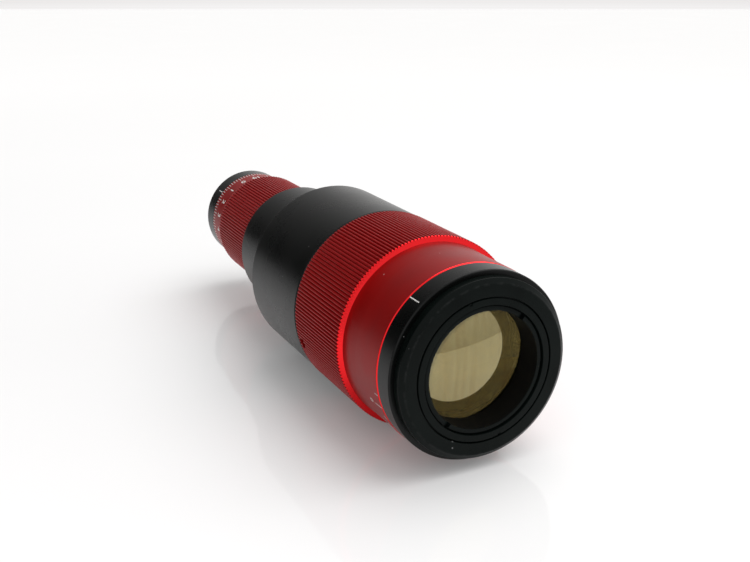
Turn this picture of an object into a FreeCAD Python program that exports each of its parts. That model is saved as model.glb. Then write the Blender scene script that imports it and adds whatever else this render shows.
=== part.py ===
import FreeCAD, Part
import math
import os
import Sketcher

# Zoom laser beam expander: a lens barrel whose optical axis is the Y axis. The beam enters at the
# rear, where Y is largest, and leaves through the big lens at the front. Y = 0 is the shoulder of
# the input thread, Z is up, and every angle on the barrel is measured from +X towards +Z.

doc = FreeCAD.newDocument("beam_expander")
sheet = doc.addObject("Spreadsheet::Sheet", "Sizes")

DRIVING_SIZES = [
    ("front_ring_proud", 3.1, "front ring's face ahead of the index ring"),
    ("index_ring_length", 5.9, "index ring along the axis"),
    ("zoom_scale_length", 19.2, "smooth front part of the zoom ring"),
    ("zoom_knurl_length", 28.8, "knurled part of the zoom ring"),
    ("body_length", 35.5, "wide part of the main body"),
    ("neck_length", 27.0, "slim part of the main body"),
    ("focus_knurl_length", 31.0, "knurled part of the focus ring"),
    ("focus_scale_length", 11.5, "smooth rear part of the focus ring"),
    ("rear_ring_length", 7.0, "rear index ring up to the thread's shoulder"),
    ("thread_length", 4.5, "input thread behind the shoulder"),
    ("end_gap", 0.15, "running gap at each end of a turning ring"),
    ("seat_fit", 0.02, "radial clearance of pieces that are screwed or bonded together"),
    ("running_fit", 0.05, "radial clearance of pieces that turn or slide"),
    ("slot_fit", 0.1, "clearance on each side of a follower in its slot or groove"),
    ("free_gap", 0.4, "radial gap round a piece that touches nothing there"),
    ("output_lens_radius", 17.0, "output lens edge"),
    ("output_lens_thickness", 7.6, "output lens on the axis"),
    ("output_lens_curve", 82.0, "radius of the output lens's front surface"),
    ("output_cell_wall", 2.13, "wall of the output cell"),
    ("output_cell_lip", 1.8, "lip behind the output lens, inwards"),
    ("output_cell_lip_length", 3.0, "lip behind the output lens, along the axis"),
    ("output_lens_depth", 8.0, "edge of the output lens behind the front face"),
    ("retainer_recess", 0.5, "output retaining ring behind the front face"),
    ("output_aperture_radius", 15.5, "clear bore of the output retaining ring"),
    ("guide_wall", 2.4, "wall of the guide barrel"),
    ("front_ring_wall", 2.1, "front ring outside the guide barrel"),
    ("front_skirt_wall", 1.3, "threaded skirt of the front ring"),
    ("front_skirt_length", 3.0, "threaded skirt of the front ring, along the axis"),
    ("index_ring_wall", 3.5, "index ring outside the guide barrel"),
    ("cam_wall", 2.3, "wall of the zoom cam"),
    ("zoom_scale_wall", 1.25, "zoom ring's wall under its scale"),
    ("zoom_knurl_rise", 1.8, "knurl's crest above the zoom scale"),
    ("knurl_depth", 0.4, "depth of the knurl's grooves"),
    ("knurl_crest", 0.36, "share of the pitch that stays at full height"),
    ("knurl_pitch", 1.0, "distance from rib to rib round the ring"),
    ("body_wall", 5.2, "wall of the main body's wide part"),
    ("body_rear_wall", 3.5, "wall of the wide part behind the guide barrel"),
    ("neck_wall", 4.93, "wall of the neck round its cavity"),
    ("neck_seat_length", 11.0, "seat of the rear tube in the neck"),
    ("zoom_lead", 36.0, "travel of the zoom carriage for one whole turn"),
    ("zoom_turn", 270.0, "turn of the zoom ring from stop to stop"),
    ("stop_gap", 1.0, "zoom cell short of the output cell at its front stop"),
    ("follower_radius", 2.0, "shoulder of a follower screw"),
    ("follower_thread_radius", 1.25, "threaded end of a follower screw"),
    ("follower_setback", 4.0, "follower behind the front of its cell"),
    ("groove_floor", 0.6, "wall left under a helical groove"),
    ("zoom_cell_length", 24.0, "zoom cell along the axis"),
    ("zoom_lens_radius", 11.0, "zoom lens edge"),
    ("zoom_lens_thickness", 4.5, "zoom lens at its edge"),
    ("zoom_lens_curve", 38.0, "radius of the zoom lens's hollow surface"),
    ("zoom_lens_rim", 1.1, "flat rim round the zoom lens's hollow surface"),
    ("zoom_retainer_length", 3.0, "zoom lens retainer along the axis"),
    ("lens_lip", 1.0, "lip that a small lens rests on, inwards"),
    ("lens_lip_length", 1.5, "lip that a small lens rests on, along the axis"),
    ("cell_skirt_wall", 2.2, "thin front wall of a lens cell"),
    ("zoom_cell_land", 8.0, "sliding land at each end of the zoom cell"),
    ("relief_depth", 0.5, "turned relief between a cell's two sliding lands"),
    ("focus_lens_radius", 6.5, "input lens edge"),
    ("focus_lens_thickness", 3.6, "input lens on the axis"),
    ("focus_lens_curve", 30.0, "radius of the input lens's surface"),
    ("focus_cell_wall", 5.0, "wall of the focus cell"),
    ("focus_cell_length", 16.0, "focus cell along the axis"),
    ("focus_cell_land", 6.0, "sliding land at each end of the focus cell"),
    ("focus_retainer_length", 2.5, "input lens retainer along the axis"),
    ("rear_tube_wall", 2.0, "wall of the rear guide tube"),
    ("rear_tube_flange", 1.6, "flange of the rear guide tube, outwards"),
    ("rear_tube_flange_length", 2.0, "flange of the rear guide tube, along the axis"),
    ("rear_tube_engagement", 4.5, "rear guide tube inside the rear index ring"),
    ("focus_cam_wall", 1.75, "wall of the focus cam"),
    ("focus_groove_floor", 0.45, "wall left under a focus cam's groove"),
    ("focus_scale_wall", 1.2, "focus ring's wall under its scale"),
    ("focus_knurl_rise", 1.4, "knurl's crest above the focus scale"),
    ("focus_lead", 24.0, "travel of the focus carriage for one whole turn"),
    ("focus_turn", 300.0, "turn of the focus ring from stop to stop"),
    ("focus_follower_radius", 1.5, "shoulder of a focus follower screw"),
    ("focus_thread_radius", 1.0, "threaded end of a focus follower screw"),
    ("rear_ring_wall", 2.8, "rear index ring outside the rear guide tube"),
    ("input_thread_radius", 15.0, "crest of the M30 input thread"),
    ("input_thread_depth", 0.6, "depth of the input thread"),
    ("input_chamfer", 0.8, "chamfer round the input bore"),
    ("input_aperture_radius", 7.5, "bore that the beam enters"),
    ("washer_length", 0.5, "glide washer along the axis"),
    ("washer_play", 0.05, "axial play of a cam between its glide washers"),
    ("screw_radius", 1.5, "grub screw"),
    ("screw_sink", 0.8, "grub screw below the knurl's crest"),
    ("screw_bite", 0.7, "grub screw's point inside the cam"),
    ("screw_socket", 0.8, "hex socket, centre to corner"),
    ("screw_socket_depth", 1.2, "depth of the hex socket"),
    ("screw_edge", 2.7, "grub screw ahead of the zoom ring's rear end"),
    ("focus_screw_edge", 2.7, "grub screw behind the focus ring's front end"),
    ("screw_angle", 196.25, "first grub screw of the zoom ring, round the barrel"),
    ("focus_screw_angle", 253.45, "first grub screw of the focus ring, round the barrel"),
    ("follower_angle", 30.0, "first follower, round the barrel"),
    ("retainer_notch_angle", 50.55, "spanner notches of the output retaining ring"),
    ("cell_notch_angle", 104.75, "spanner notches of the output cell"),
    ("notch_width", 1.6, "spanner notch across"),
    ("notch_depth", 1.2, "spanner notch along the axis"),
    ("cell_notch_reach", 1.1, "output cell's notch, inwards from its rim"),
    ("edge_break", 0.3, "small chamfer on turned edges"),
    ("body_chamfer", 0.6, "chamfer at the main body's ends"),
    ("front_chamfer", 0.7, "chamfer round the front face"),
]


class Size:
    """A length or an angle, known as a number and as the sheet expression that gives it."""

    def __init__(self, value, text):
        self.value = value
        self.text = text

    def __add__(self, other):
        return combine(self, "+", other, self.value + number(other))

    def __radd__(self, other):
        return combine(other, "+", self, number(other) + self.value)

    def __sub__(self, other):
        return combine(self, "-", other, self.value - number(other))

    def __mul__(self, other):
        return combine(self, "*", other, self.value * number(other))

    def __truediv__(self, other):
        return combine(self, "/", other, self.value / number(other))

    def __neg__(self):
        return Size(-self.value, f"(0 - {self.text})")


def number(size):
    """Give the number that a size or a plain number stands for."""
    return size.value if isinstance(size, Size) else float(size)


def words(size):
    """Give the expression text that a size or a plain number stands for."""
    return size.text if isinstance(size, Size) else repr(float(size))


def combine(left, sign, right, value):
    """Join two sizes into one that keeps both its number and its expression."""
    return Size(value, f"({words(left)} {sign} {words(right)})")


class SizeTable:
    """The driving sizes by name, each bound to its cell in the sheet."""


def fill_sheet():
    """Write every driving size into the sheet, and give the table of sizes."""
    table = SizeTable()
    for row, (name, value, note) in enumerate(DRIVING_SIZES, start=1):
        sheet.set(f"A{row}", name)
        sheet.set(f"B{row}", str(value))
        sheet.set(f"C{row}", note)
        sheet.setAlias(f"B{row}", name)
        setattr(table, name, Size(value, f"Sizes.{name}"))
    doc.recompute()
    return table


size = fill_sheet()

# Stations along the axis, from the thread's shoulder at Y = 0 forwards
ORIGIN_STATION = Size(0.0, "0")
rear_ring_front = -size.rear_ring_length
focus_step = rear_ring_front - size.focus_scale_length
neck_rear = focus_step - size.focus_knurl_length
body_rear = neck_rear - size.neck_length
body_front = body_rear - size.body_length
zoom_step = body_front - size.zoom_knurl_length
zoom_front = zoom_step - size.zoom_scale_length
index_front = zoom_front - size.index_ring_length
front_face = index_front - size.front_ring_proud

# Radii of the front section, from the output lens outwards
output_cell_radius = size.output_lens_radius + size.seat_fit + size.output_cell_wall
guide_bore = output_cell_radius + size.running_fit
guide_radius = guide_bore + size.guide_wall
guide_seat = guide_radius + size.seat_fit
cam_bore = guide_radius + size.running_fit
cam_radius = cam_bore + size.cam_wall
zoom_ring_bore = cam_radius + size.seat_fit
zoom_scale_radius = zoom_ring_bore + size.zoom_scale_wall
zoom_crest_radius = zoom_scale_radius + size.zoom_knurl_rise
index_ring_radius = guide_seat + size.index_ring_wall
body_radius = guide_seat + size.body_wall
zoom_cell_radius = guide_bore - size.running_fit

# Radii of the rear section, from the input lens outwards
focus_cell_radius = size.focus_lens_radius + size.seat_fit + size.focus_cell_wall
rear_bore = focus_cell_radius + size.running_fit
rear_tube_radius = rear_bore + size.rear_tube_wall
rear_seat = rear_tube_radius + size.seat_fit
focus_cam_bore = rear_tube_radius + size.running_fit
focus_cam_radius = focus_cam_bore + size.focus_cam_wall
focus_ring_bore = focus_cam_radius + size.seat_fit
focus_scale_radius = focus_ring_bore + size.focus_scale_wall
focus_crest_radius = focus_scale_radius + size.focus_knurl_rise
rear_ring_radius = rear_seat + size.rear_ring_wall
rear_flange_radius = rear_tube_radius + size.rear_tube_flange
neck_cavity = rear_flange_radius + size.free_gap
neck_radius = neck_cavity + size.neck_wall

# Travel of the two carriages
zoom_travel = size.zoom_lead * size.zoom_turn / 360
focus_travel = size.focus_lead * size.focus_turn / 360


def bind(item, prop, value):
    """Tie one property of an object to the sheet."""
    item.setExpression(prop, words(value))


def place(item, station, angle=None):
    """Put a piece at its station on the axis, turned about the axis by an angle."""
    turn = FreeCAD.Rotation(FreeCAD.Vector(0, -1, 0), 0 if angle is None else number(angle))
    item.Placement = FreeCAD.Placement(FreeCAD.Vector(0, number(station), 0), turn)
    bind(item, "Placement.Base.y", station)
    if angle is not None:
        bind(item, "Placement.Rotation.Angle", angle)


def origin_feature(body, role):
    """Find one of a body's own origin planes or axes."""
    return next(item for item in body.Origin.OriginFeatures if item.Role == role)


def new_body(label):
    """Start a body that will be one sub-part."""
    body = doc.addObject("PartDesign::Body", label)
    body.Label = label
    return body


def new_sketch(body, name, role):
    """Attach a sketch to one of the body's own origin planes."""
    sketch = body.newObject("Sketcher::SketchObject", f"{body.Name}_{name}")
    sketch.AttachmentSupport = [(origin_feature(body, role), "")]
    sketch.MapMode = "FlatFace"
    return sketch


def draw_outline(sketch, corners):
    """Draw a closed outline of straight lines, each corner held by its own sizes."""
    points = [FreeCAD.Vector(number(x), number(y), 0) for x, y in corners]
    count = len(points)
    for k in range(count):
        sketch.addGeometry(Part.LineSegment(points[k], points[(k + 1) % count]), False)
    for k in range(count):
        sketch.addConstraint(Sketcher.Constraint("Coincident", k, 2, (k + 1) % count, 1))
    for k, (x, y) in enumerate(corners):
        for kind, value in (("DistanceX", x), ("DistanceY", y)):
            tag = sketch.addConstraint(Sketcher.Constraint(kind, -1, 1, k, 1, number(value)))
            if isinstance(value, Size):
                sketch.setExpression(f"Constraints[{tag}]", value.text)


def revolve(body, corners):
    """Turn an outline of (radius, distance along Y) corners about the body's Y axis."""
    sketch = new_sketch(body, "profile", "XY_Plane")
    draw_outline(sketch, corners)
    turned = body.newObject("PartDesign::Revolution", f"{body.Name}_turned")
    turned.Profile = (sketch, [""])
    turned.ReferenceAxis = (sketch, ["V_Axis"])
    turned.Angle = 360
    body.Tip = turned
    return turned


def turned_piece(label, station, corners, angle=None):
    """Make a plain turned sub-part."""
    body = new_body(label)
    revolve(body, corners)
    place(body, station, angle)
    return body


def repeat_round(body, feature, count):
    """Repeat a feature round the body's Y axis."""
    pattern = body.newObject("PartDesign::PolarPattern", f"{feature.Name}_round")
    pattern.Originals = [feature]
    pattern.Axis = (origin_feature(body, "Y_Axis"), [""])
    pattern.Angle = 360
    pattern.Occurrences = count
    body.Tip = pattern
    return pattern


def face_notches(body, inner, outer, count, rear_face=None):
    """Cut spanner notches into the body's front face, or its rear one, the first at its own +X."""
    sketch = new_sketch(body, "notch", "XZ_Plane")
    if rear_face is not None:
        bind(sketch, "AttachmentOffset.Base.z", -rear_face)
    half = size.notch_width / 2
    draw_outline(sketch, [(inner, -half), (outer, -half), (outer, half), (inner, half)])
    pocket = body.newObject("PartDesign::Pocket", f"{body.Name}_notch_cut")
    pocket.Profile = sketch
    pocket.Type = "Length"
    pocket.Reversed = rear_face is not None
    bind(pocket, "Length", size.notch_depth)
    body.Tip = pocket
    repeat_round(body, pocket, count)


def wall_cut(body, name, count, inner, outer, outline):
    """Cut an outline, drawn as (along Y, along Z), through the wall at the body's own +X."""
    sketch = new_sketch(body, name, "YZ_Plane")
    bind(sketch, "AttachmentOffset.Base.z", inner)
    outline(sketch)
    pocket = body.newObject("PartDesign::Pocket", f"{body.Name}_{name}_cut")
    pocket.Profile = sketch
    pocket.Type = "Length"
    pocket.Reversed = True
    bind(pocket, "Length", outer - inner)
    body.Tip = pocket
    repeat_round(body, pocket, count)


def slot_outline(front, rear, half_width):
    """Give a function that draws a straight slot with round ends along the axis."""

    def draw(sketch):
        low = FreeCAD.Vector(number(front), 0, 0)
        high = FreeCAD.Vector(number(rear), 0, 0)
        side = FreeCAD.Vector(0, number(half_width), 0)
        up = FreeCAD.Vector(0, 0, 1)
        sketch.addGeometry(Part.LineSegment(low - side, high - side), False)
        sketch.addGeometry(Part.ArcOfCircle(
            Part.Circle(high, up, number(half_width)), -math.pi / 2, math.pi / 2), False)
        sketch.addGeometry(Part.LineSegment(high + side, low + side), False)
        sketch.addGeometry(Part.ArcOfCircle(
            Part.Circle(low, up, number(half_width)), math.pi / 2, 3 * math.pi / 2), False)
        sketch.addConstraint([
            Sketcher.Constraint("Tangent", 0, 2, 1, 1),
            Sketcher.Constraint("Tangent", 1, 2, 2, 1),
            Sketcher.Constraint("Tangent", 2, 2, 3, 1),
            Sketcher.Constraint("Tangent", 3, 2, 0, 1),
            Sketcher.Constraint("PointOnObject", 1, 3, -1),
            Sketcher.Constraint("PointOnObject", 3, 3, -1)])
        for kind, args, value in (
                ("DistanceX", (-1, 1, 3, 3), front),
                ("DistanceX", (-1, 1, 1, 3), rear),
                ("Radius", (1,), half_width)):
            tag = sketch.addConstraint(Sketcher.Constraint(kind, *args, number(value)))
            sketch.setExpression(f"Constraints[{tag}]", value.text)

    return draw


def hole_outline(along, radius):
    """Give a function that draws a round hole at a distance along the axis."""

    def draw(sketch):
        centre = FreeCAD.Vector(number(along), 0, 0)
        sketch.addGeometry(Part.Circle(centre, FreeCAD.Vector(0, 0, 1), number(radius)), False)
        sketch.addConstraint(Sketcher.Constraint("PointOnObject", 0, 3, -1))
        for kind, args, value in (("DistanceX", (-1, 1, 0, 3), along), ("Radius", (0,), radius)):
            tag = sketch.addConstraint(Sketcher.Constraint(kind, *args, number(value)))
            sketch.setExpression(f"Constraints[{tag}]", value.text)

    return draw


def helical_grooves(body, bore, floor_radius, front_stop, front_angle, lead, turn, half_width, count):
    """Cut helical grooves into a cam's bore, from its followers' front stop backwards.

    The angle is where the groove is at the front stop, round the body. It shrinks towards the rear,
    and the groove goes past both stops by the angle that half its width takes up.
    """
    over = half_width / bore * (180 / math.pi)
    half_along = slanted(half_width, lead, bore)
    start = front_stop - over * lead / 360
    first_angle = front_angle + over
    inner = bore - size.free_gap
    sketch = new_sketch(body, "groove", "XY_Plane")
    draw_outline(sketch, [(inner, start - half_along), (floor_radius, start - half_along),
                          (floor_radius, start + half_along), (inner, start + half_along)])
    sketch.AttachmentOffset = FreeCAD.Placement(
        FreeCAD.Vector(0, 0, 0), FreeCAD.Rotation(FreeCAD.Vector(0, -1, 0), number(first_angle)))
    sketch.setExpression("AttachmentOffset.Rotation.Angle", first_angle.text)
    groove = body.newObject("PartDesign::SubtractiveHelix", f"{body.Name}_groove_cut")
    groove.Profile = sketch
    groove.ReferenceAxis = (origin_feature(body, "Y_Axis"), [""])
    groove.Mode = "pitch-turns-angle"
    bind(groove, "Pitch", lead)
    bind(groove, "Turns", (turn + over * 2) / 360)
    body.Tip = groove
    repeat_round(body, groove, count)


def slanted(half_width, lead, radius):
    """Give the length along the axis of a width that is measured square to a helix."""
    slope = lead / (radius * (2 * math.pi))
    return Size(half_width.value * math.hypot(1, slope.value),
                f"({half_width.text} * sqrt(1 + {slope.text} * {slope.text}))")


def cylinder(name, radius, length):
    """Make a cylinder that stands on the origin along +Z."""
    item = doc.addObject("Part::Cylinder", name)
    bind(item, "Radius", radius)
    bind(item, "Height", length)
    return item


def lens(label, radius, thickness, curve, station, rim=None):
    """Make a lens with a flat rear face: its front face bulges, or is hollowed out inside a rim."""
    blank = cylinder(f"{label}_blank", radius, thickness)
    blank.Placement = FreeCAD.Placement(
        FreeCAD.Vector(0, 0, 0), FreeCAD.Rotation(FreeCAD.Vector(1, 0, 0), -90))
    ball = doc.addObject("Part::Sphere", f"{label}_curve")
    bind(ball, "Radius", curve)
    item = doc.addObject("Part::Common" if rim is None else "Part::Cut", label)
    item.Label = label
    item.Base = blank
    item.Tool = ball
    bind(ball, "Placement.Base.y", curve if rim is None else sagitta(curve, radius - rim) - curve)
    place(item, station)
    return item


def sagitta(curve, radius):
    """Give the height of a ball's cap over a circle of the given radius."""
    value = curve.value - math.sqrt(curve.value ** 2 - radius.value ** 2)
    return Size(value, f"({curve.text} - sqrt({curve.text} * {curve.text} - {radius.text} * {radius.text}))")


def radial(item, inner):
    """Lay a piece that stands along +Z so that it points outwards along +X from a radius."""
    item.Placement = FreeCAD.Placement(
        FreeCAD.Vector(number(inner), 0, 0), FreeCAD.Rotation(FreeCAD.Vector(0, 1, 0), 90))
    bind(item, "Placement.Base.x", inner)


def round_group(label, station, first_angle, count, make_one):
    """Group like fasteners, spread evenly round the axis, in one sub-part."""
    pieces = []
    for k in range(count):
        piece = make_one(f"{label}_{k + 1}")
        place(piece, ORIGIN_STATION, first_angle + 360 * k / count)
        pieces.append(piece)
    group = doc.addObject("Part::Compound", label)
    group.Label = label
    group.Links = pieces
    place(group, station)
    return group


def grub_screw(inner, outer):
    """Give a function that makes one grub screw with a hex socket, from inner to outer radius."""

    def make(name):
        stem = cylinder(f"{name}_stem", size.screw_radius - size.seat_fit, outer - inner)
        radial(stem, inner)
        socket = doc.addObject("Part::Prism", f"{name}_socket")
        socket.Polygon = 6
        bind(socket, "Circumradius", size.screw_socket)
        bind(socket, "Height", size.screw_socket_depth * 2)
        radial(socket, outer - size.screw_socket_depth)
        screw = doc.addObject("Part::Cut", name)
        screw.Base = stem
        screw.Tool = socket
        return screw

    return make


def follower(thread_inner, shoulder_inner, outer, radius, thread_radius):
    """Give a function that makes one follower screw: a thread in its cell, a shoulder outside."""

    def make(name):
        thread = cylinder(f"{name}_thread", thread_radius, shoulder_inner - thread_inner)
        radial(thread, thread_inner)
        shoulder = cylinder(f"{name}_shoulder", radius, outer - shoulder_inner)
        radial(shoulder, shoulder_inner)
        screw = doc.addObject("Part::Fuse", name)
        screw.Base = thread
        screw.Tool = shoulder
        return screw

    return make


def knurled(label, blank, crest_radius, start, end, station, angle):
    """Cut a straight knurl into a turned blank: one V groove for each whole pitch round it."""
    ribs = round(2 * math.pi * number(crest_radius) / number(size.knurl_pitch))
    step = 2 * math.pi / ribs
    crest_turn = step * number(size.knurl_crest)
    root_radius = number(crest_radius) - number(size.knurl_depth)
    outline = []
    for rib in range(ribs):
        for radius, turn in ((number(crest_radius), 0.0), (number(crest_radius), crest_turn),
                             (root_radius, (crest_turn + step) / 2)):
            about = rib * step + turn
            outline.append(FreeCAD.Vector(
                radius * math.cos(about), number(start), radius * math.sin(about)))
    teeth = Part.makePolygon(outline + outline[:1])
    outside = Part.Wire(Part.makeCircle(
        number(crest_radius) + number(size.knurl_depth), FreeCAD.Vector(0, number(start), 0),
        FreeCAD.Vector(0, 1, 0)))
    waste = Part.Face([outside, teeth])
    tool = doc.addObject("Part::Feature", f"{label}_waste")
    tool.Shape = waste.extrude(FreeCAD.Vector(0, number(end) - number(start), 0))
    ring = doc.addObject("Part::Cut", label)
    ring.Label = label
    ring.Base = blank
    ring.Tool = tool
    place(ring, station, angle)
    return ring


# Front of the barrel: face ring, index ring, output lens in its cell, and the tube that carries them

output_bulge = sagitta(size.output_lens_curve, size.output_lens_radius)
output_lens_front = size.output_lens_depth - output_bulge
output_lens_rear = output_lens_front + size.output_lens_thickness
output_cell_length = output_lens_rear + size.output_cell_lip_length
output_seat = size.output_lens_radius + size.seat_fit
front_ring_radius = guide_radius + size.front_ring_wall
front_ring_rear = size.front_ring_proud + size.front_skirt_length
skirt_radius = guide_seat + size.front_skirt_wall
skirt_seat = skirt_radius + size.seat_fit

turned_piece("front_ring", front_face, [
    (guide_bore, 0),
    (front_ring_radius - size.front_chamfer, 0),
    (front_ring_radius, size.front_chamfer),
    (front_ring_radius, size.front_ring_proud),
    (skirt_radius, size.front_ring_proud),
    (skirt_radius, front_ring_rear),
    (guide_seat, front_ring_rear),
    (guide_seat, size.front_ring_proud),
    (guide_bore, size.front_ring_proud)])

turned_piece("index_ring", index_front, [
    (skirt_seat, 0),
    (index_ring_radius - size.edge_break, 0),
    (index_ring_radius, size.edge_break),
    (index_ring_radius, size.index_ring_length),
    (guide_seat, size.index_ring_length),
    (guide_seat, size.front_skirt_length + size.end_gap),
    (skirt_seat, size.front_skirt_length + size.end_gap)])

output_cell = turned_piece("output_cell", front_face, [
    (output_seat, 0),
    (output_cell_radius - size.edge_break, 0),
    (output_cell_radius, size.edge_break),
    (output_cell_radius, output_cell_length),
    (output_seat - size.output_cell_lip, output_cell_length),
    (output_seat - size.output_cell_lip, output_lens_rear),
    (output_seat, output_lens_rear)], size.cell_notch_angle)
face_notches(output_cell, output_cell_radius - size.cell_notch_reach,
             output_cell_radius + size.free_gap, 2)

lens("output_lens", size.output_lens_radius, size.output_lens_thickness, size.output_lens_curve,
     front_face + output_lens_front)

retainer_length = (output_lens_front + sagitta(size.output_lens_curve, size.output_aperture_radius)
                   - size.seat_fit - size.retainer_recess)
output_retainer = turned_piece("output_retaining_ring", front_face + size.retainer_recess, [
    (size.output_aperture_radius, 0),
    (size.output_lens_radius, 0),
    (size.output_lens_radius, retainer_length),
    (size.output_aperture_radius, retainer_length)], size.retainer_notch_angle)
face_notches(output_retainer, size.output_aperture_radius - size.free_gap,
             size.output_lens_radius + size.free_gap, 2)

# Stations of the two carriages: the zoom one rests at its rear stop, the focus one halfway

zoom_cell_front_stop = front_face + output_cell_length + size.stop_gap
zoom_cell_front = zoom_cell_front_stop + zoom_travel
zoom_follower_stop = zoom_cell_front_stop + size.follower_setback
zoom_follower_rest = zoom_cell_front + size.follower_setback
focus_follower_rest = (neck_rear + rear_ring_front) / 2
focus_follower_stop = focus_follower_rest - focus_travel / 2
focus_cell_front = focus_follower_rest - size.follower_setback

zoom_slot_half = size.follower_radius + size.slot_fit
focus_slot_half = size.focus_follower_radius + size.slot_fit

body_seat_length = size.body_length - size.body_rear_wall
guide_length = body_front + body_seat_length - index_front
guide = turned_piece("guide_barrel", index_front, [
    (guide_bore, 0),
    (guide_radius, 0),
    (guide_radius, guide_length),
    (guide_bore, guide_length)], size.follower_angle)
wall_cut(guide, "slot", 3, guide_bore / 2, guide_radius + size.free_gap, slot_outline(
    zoom_follower_stop - index_front, zoom_follower_rest - index_front, zoom_slot_half))

# Main body, with its neck, and the rear tube that the neck carries

body_end = size.body_length + size.neck_length
turned_piece("main_body", body_front, [
    (guide_seat, 0),
    (body_radius - size.body_chamfer, 0),
    (body_radius, size.body_chamfer),
    (body_radius, size.body_length - size.body_chamfer),
    (body_radius - size.body_chamfer, size.body_length),
    (neck_radius, size.body_length),
    (neck_radius, body_end - size.edge_break),
    (neck_radius - size.edge_break, body_end),
    (rear_seat, body_end),
    (rear_seat, body_end - size.neck_seat_length),
    (neck_cavity, body_end - size.neck_seat_length),
    (neck_cavity, body_seat_length),
    (guide_seat, body_seat_length)])

tube_front = neck_rear - size.neck_seat_length - size.rear_tube_flange_length
tube_length = rear_ring_front + size.rear_tube_engagement - tube_front
rear_tube = turned_piece("rear_guide_tube", tube_front, [
    (rear_bore, 0),
    (rear_flange_radius, 0),
    (rear_flange_radius, size.rear_tube_flange_length),
    (rear_tube_radius, size.rear_tube_flange_length),
    (rear_tube_radius, tube_length),
    (rear_bore, tube_length)], size.follower_angle)
wall_cut(rear_tube, "slot", 3, rear_bore / 2, rear_tube_radius + size.free_gap, slot_outline(
    focus_follower_stop - tube_front,
    focus_follower_stop + focus_travel - tube_front, focus_slot_half))

thread_root = size.input_thread_radius - size.input_thread_depth
rear_ring_end = size.rear_ring_length + size.thread_length
turned_piece("rear_index_ring", rear_ring_front, [
    (rear_seat, 0),
    (rear_ring_radius - size.edge_break, 0),
    (rear_ring_radius, size.edge_break),
    (rear_ring_radius, size.rear_ring_length - size.edge_break),
    (rear_ring_radius - size.edge_break, size.rear_ring_length),
    (size.input_thread_radius, size.rear_ring_length),
    (size.input_thread_radius, rear_ring_end - size.input_thread_depth),
    (thread_root, rear_ring_end),
    (size.input_aperture_radius + size.input_chamfer, rear_ring_end),
    (size.input_aperture_radius, rear_ring_end - size.input_chamfer),
    (size.input_aperture_radius, size.rear_tube_engagement),
    (rear_seat, size.rear_tube_engagement)])

# Zoom drive: grip ring, cam sleeve, grub screws and glide washers

ring_front = zoom_front + size.end_gap
ring_step = zoom_step - ring_front
ring_length = body_front - size.end_gap - ring_front
zoom_hole = ring_length - size.screw_edge
zoom_blank = turned_piece("zoom_ring_blank", ORIGIN_STATION, [
    (zoom_ring_bore, 0),
    (zoom_scale_radius - size.edge_break, 0),
    (zoom_scale_radius, size.edge_break),
    (zoom_scale_radius, ring_step),
    (zoom_crest_radius - size.edge_break, ring_step),
    (zoom_crest_radius, ring_step + size.edge_break),
    (zoom_crest_radius, ring_length - size.knurl_depth),
    (zoom_crest_radius - size.knurl_depth, ring_length),
    (zoom_ring_bore, ring_length)])
wall_cut(zoom_blank, "hole", 2, zoom_ring_bore / 2, zoom_crest_radius + size.free_gap,
         hole_outline(zoom_hole, size.screw_radius))
knurled("zoom_ring", zoom_blank, zoom_crest_radius, ring_step - size.free_gap,
        ring_length + size.free_gap, ring_front, size.screw_angle)

end_play = size.washer_length + size.washer_play
cam_front = zoom_front + end_play
cam_length = body_front - end_play - cam_front
zoom_floor = cam_radius - size.groove_floor
zoom_cam = turned_piece("zoom_cam", cam_front, [
    (cam_bore, 0), (cam_radius, 0), (cam_radius, cam_length), (cam_bore, cam_length)],
    size.screw_angle)
helical_grooves(zoom_cam, cam_bore, zoom_floor, zoom_follower_stop - cam_front,
                size.follower_angle - size.screw_angle + size.zoom_turn,
                size.zoom_lead, size.zoom_turn, zoom_slot_half, 3)
zoom_dimple = cam_radius - size.screw_bite
wall_cut(zoom_cam, "dimple", 2, zoom_dimple, cam_radius + size.free_gap,
         hole_outline(ring_front + zoom_hole - cam_front, size.screw_radius))
round_group("zoom_ring_screws", ring_front + zoom_hole, size.screw_angle, 2,
            grub_screw(zoom_dimple, zoom_crest_radius - size.screw_sink))


def glide_washer(label, station, bore, outer_radius):
    """Make a thin washer that a turning sleeve runs against."""
    turned_piece(label, station, [
        (bore, 0), (outer_radius, 0), (outer_radius, size.washer_length), (bore, size.washer_length)])


glide_washer("zoom_front_washer", zoom_front, guide_seat, cam_radius - size.free_gap)
glide_washer("zoom_rear_washer", body_front - size.washer_length, guide_seat,
             cam_radius - size.free_gap)

# Focus drive, built the same way at the rear

focus_front = neck_rear + size.end_gap
focus_rise = focus_step - focus_front
focus_length = rear_ring_front - size.end_gap - focus_front
focus_blank = turned_piece("focus_ring_blank", ORIGIN_STATION, [
    (focus_ring_bore, 0),
    (focus_crest_radius - size.knurl_depth, 0),
    (focus_crest_radius, size.knurl_depth),
    (focus_crest_radius, focus_rise - size.edge_break),
    (focus_crest_radius - size.edge_break, focus_rise),
    (focus_scale_radius, focus_rise),
    (focus_scale_radius, focus_length - size.edge_break),
    (focus_scale_radius - size.edge_break, focus_length),
    (focus_ring_bore, focus_length)])
wall_cut(focus_blank, "hole", 3, focus_ring_bore / 2, focus_crest_radius + size.free_gap,
         hole_outline(size.focus_screw_edge, size.screw_radius))
knurled("focus_ring", focus_blank, focus_crest_radius, -size.free_gap, focus_rise + size.free_gap,
        focus_front, size.focus_screw_angle)

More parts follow.
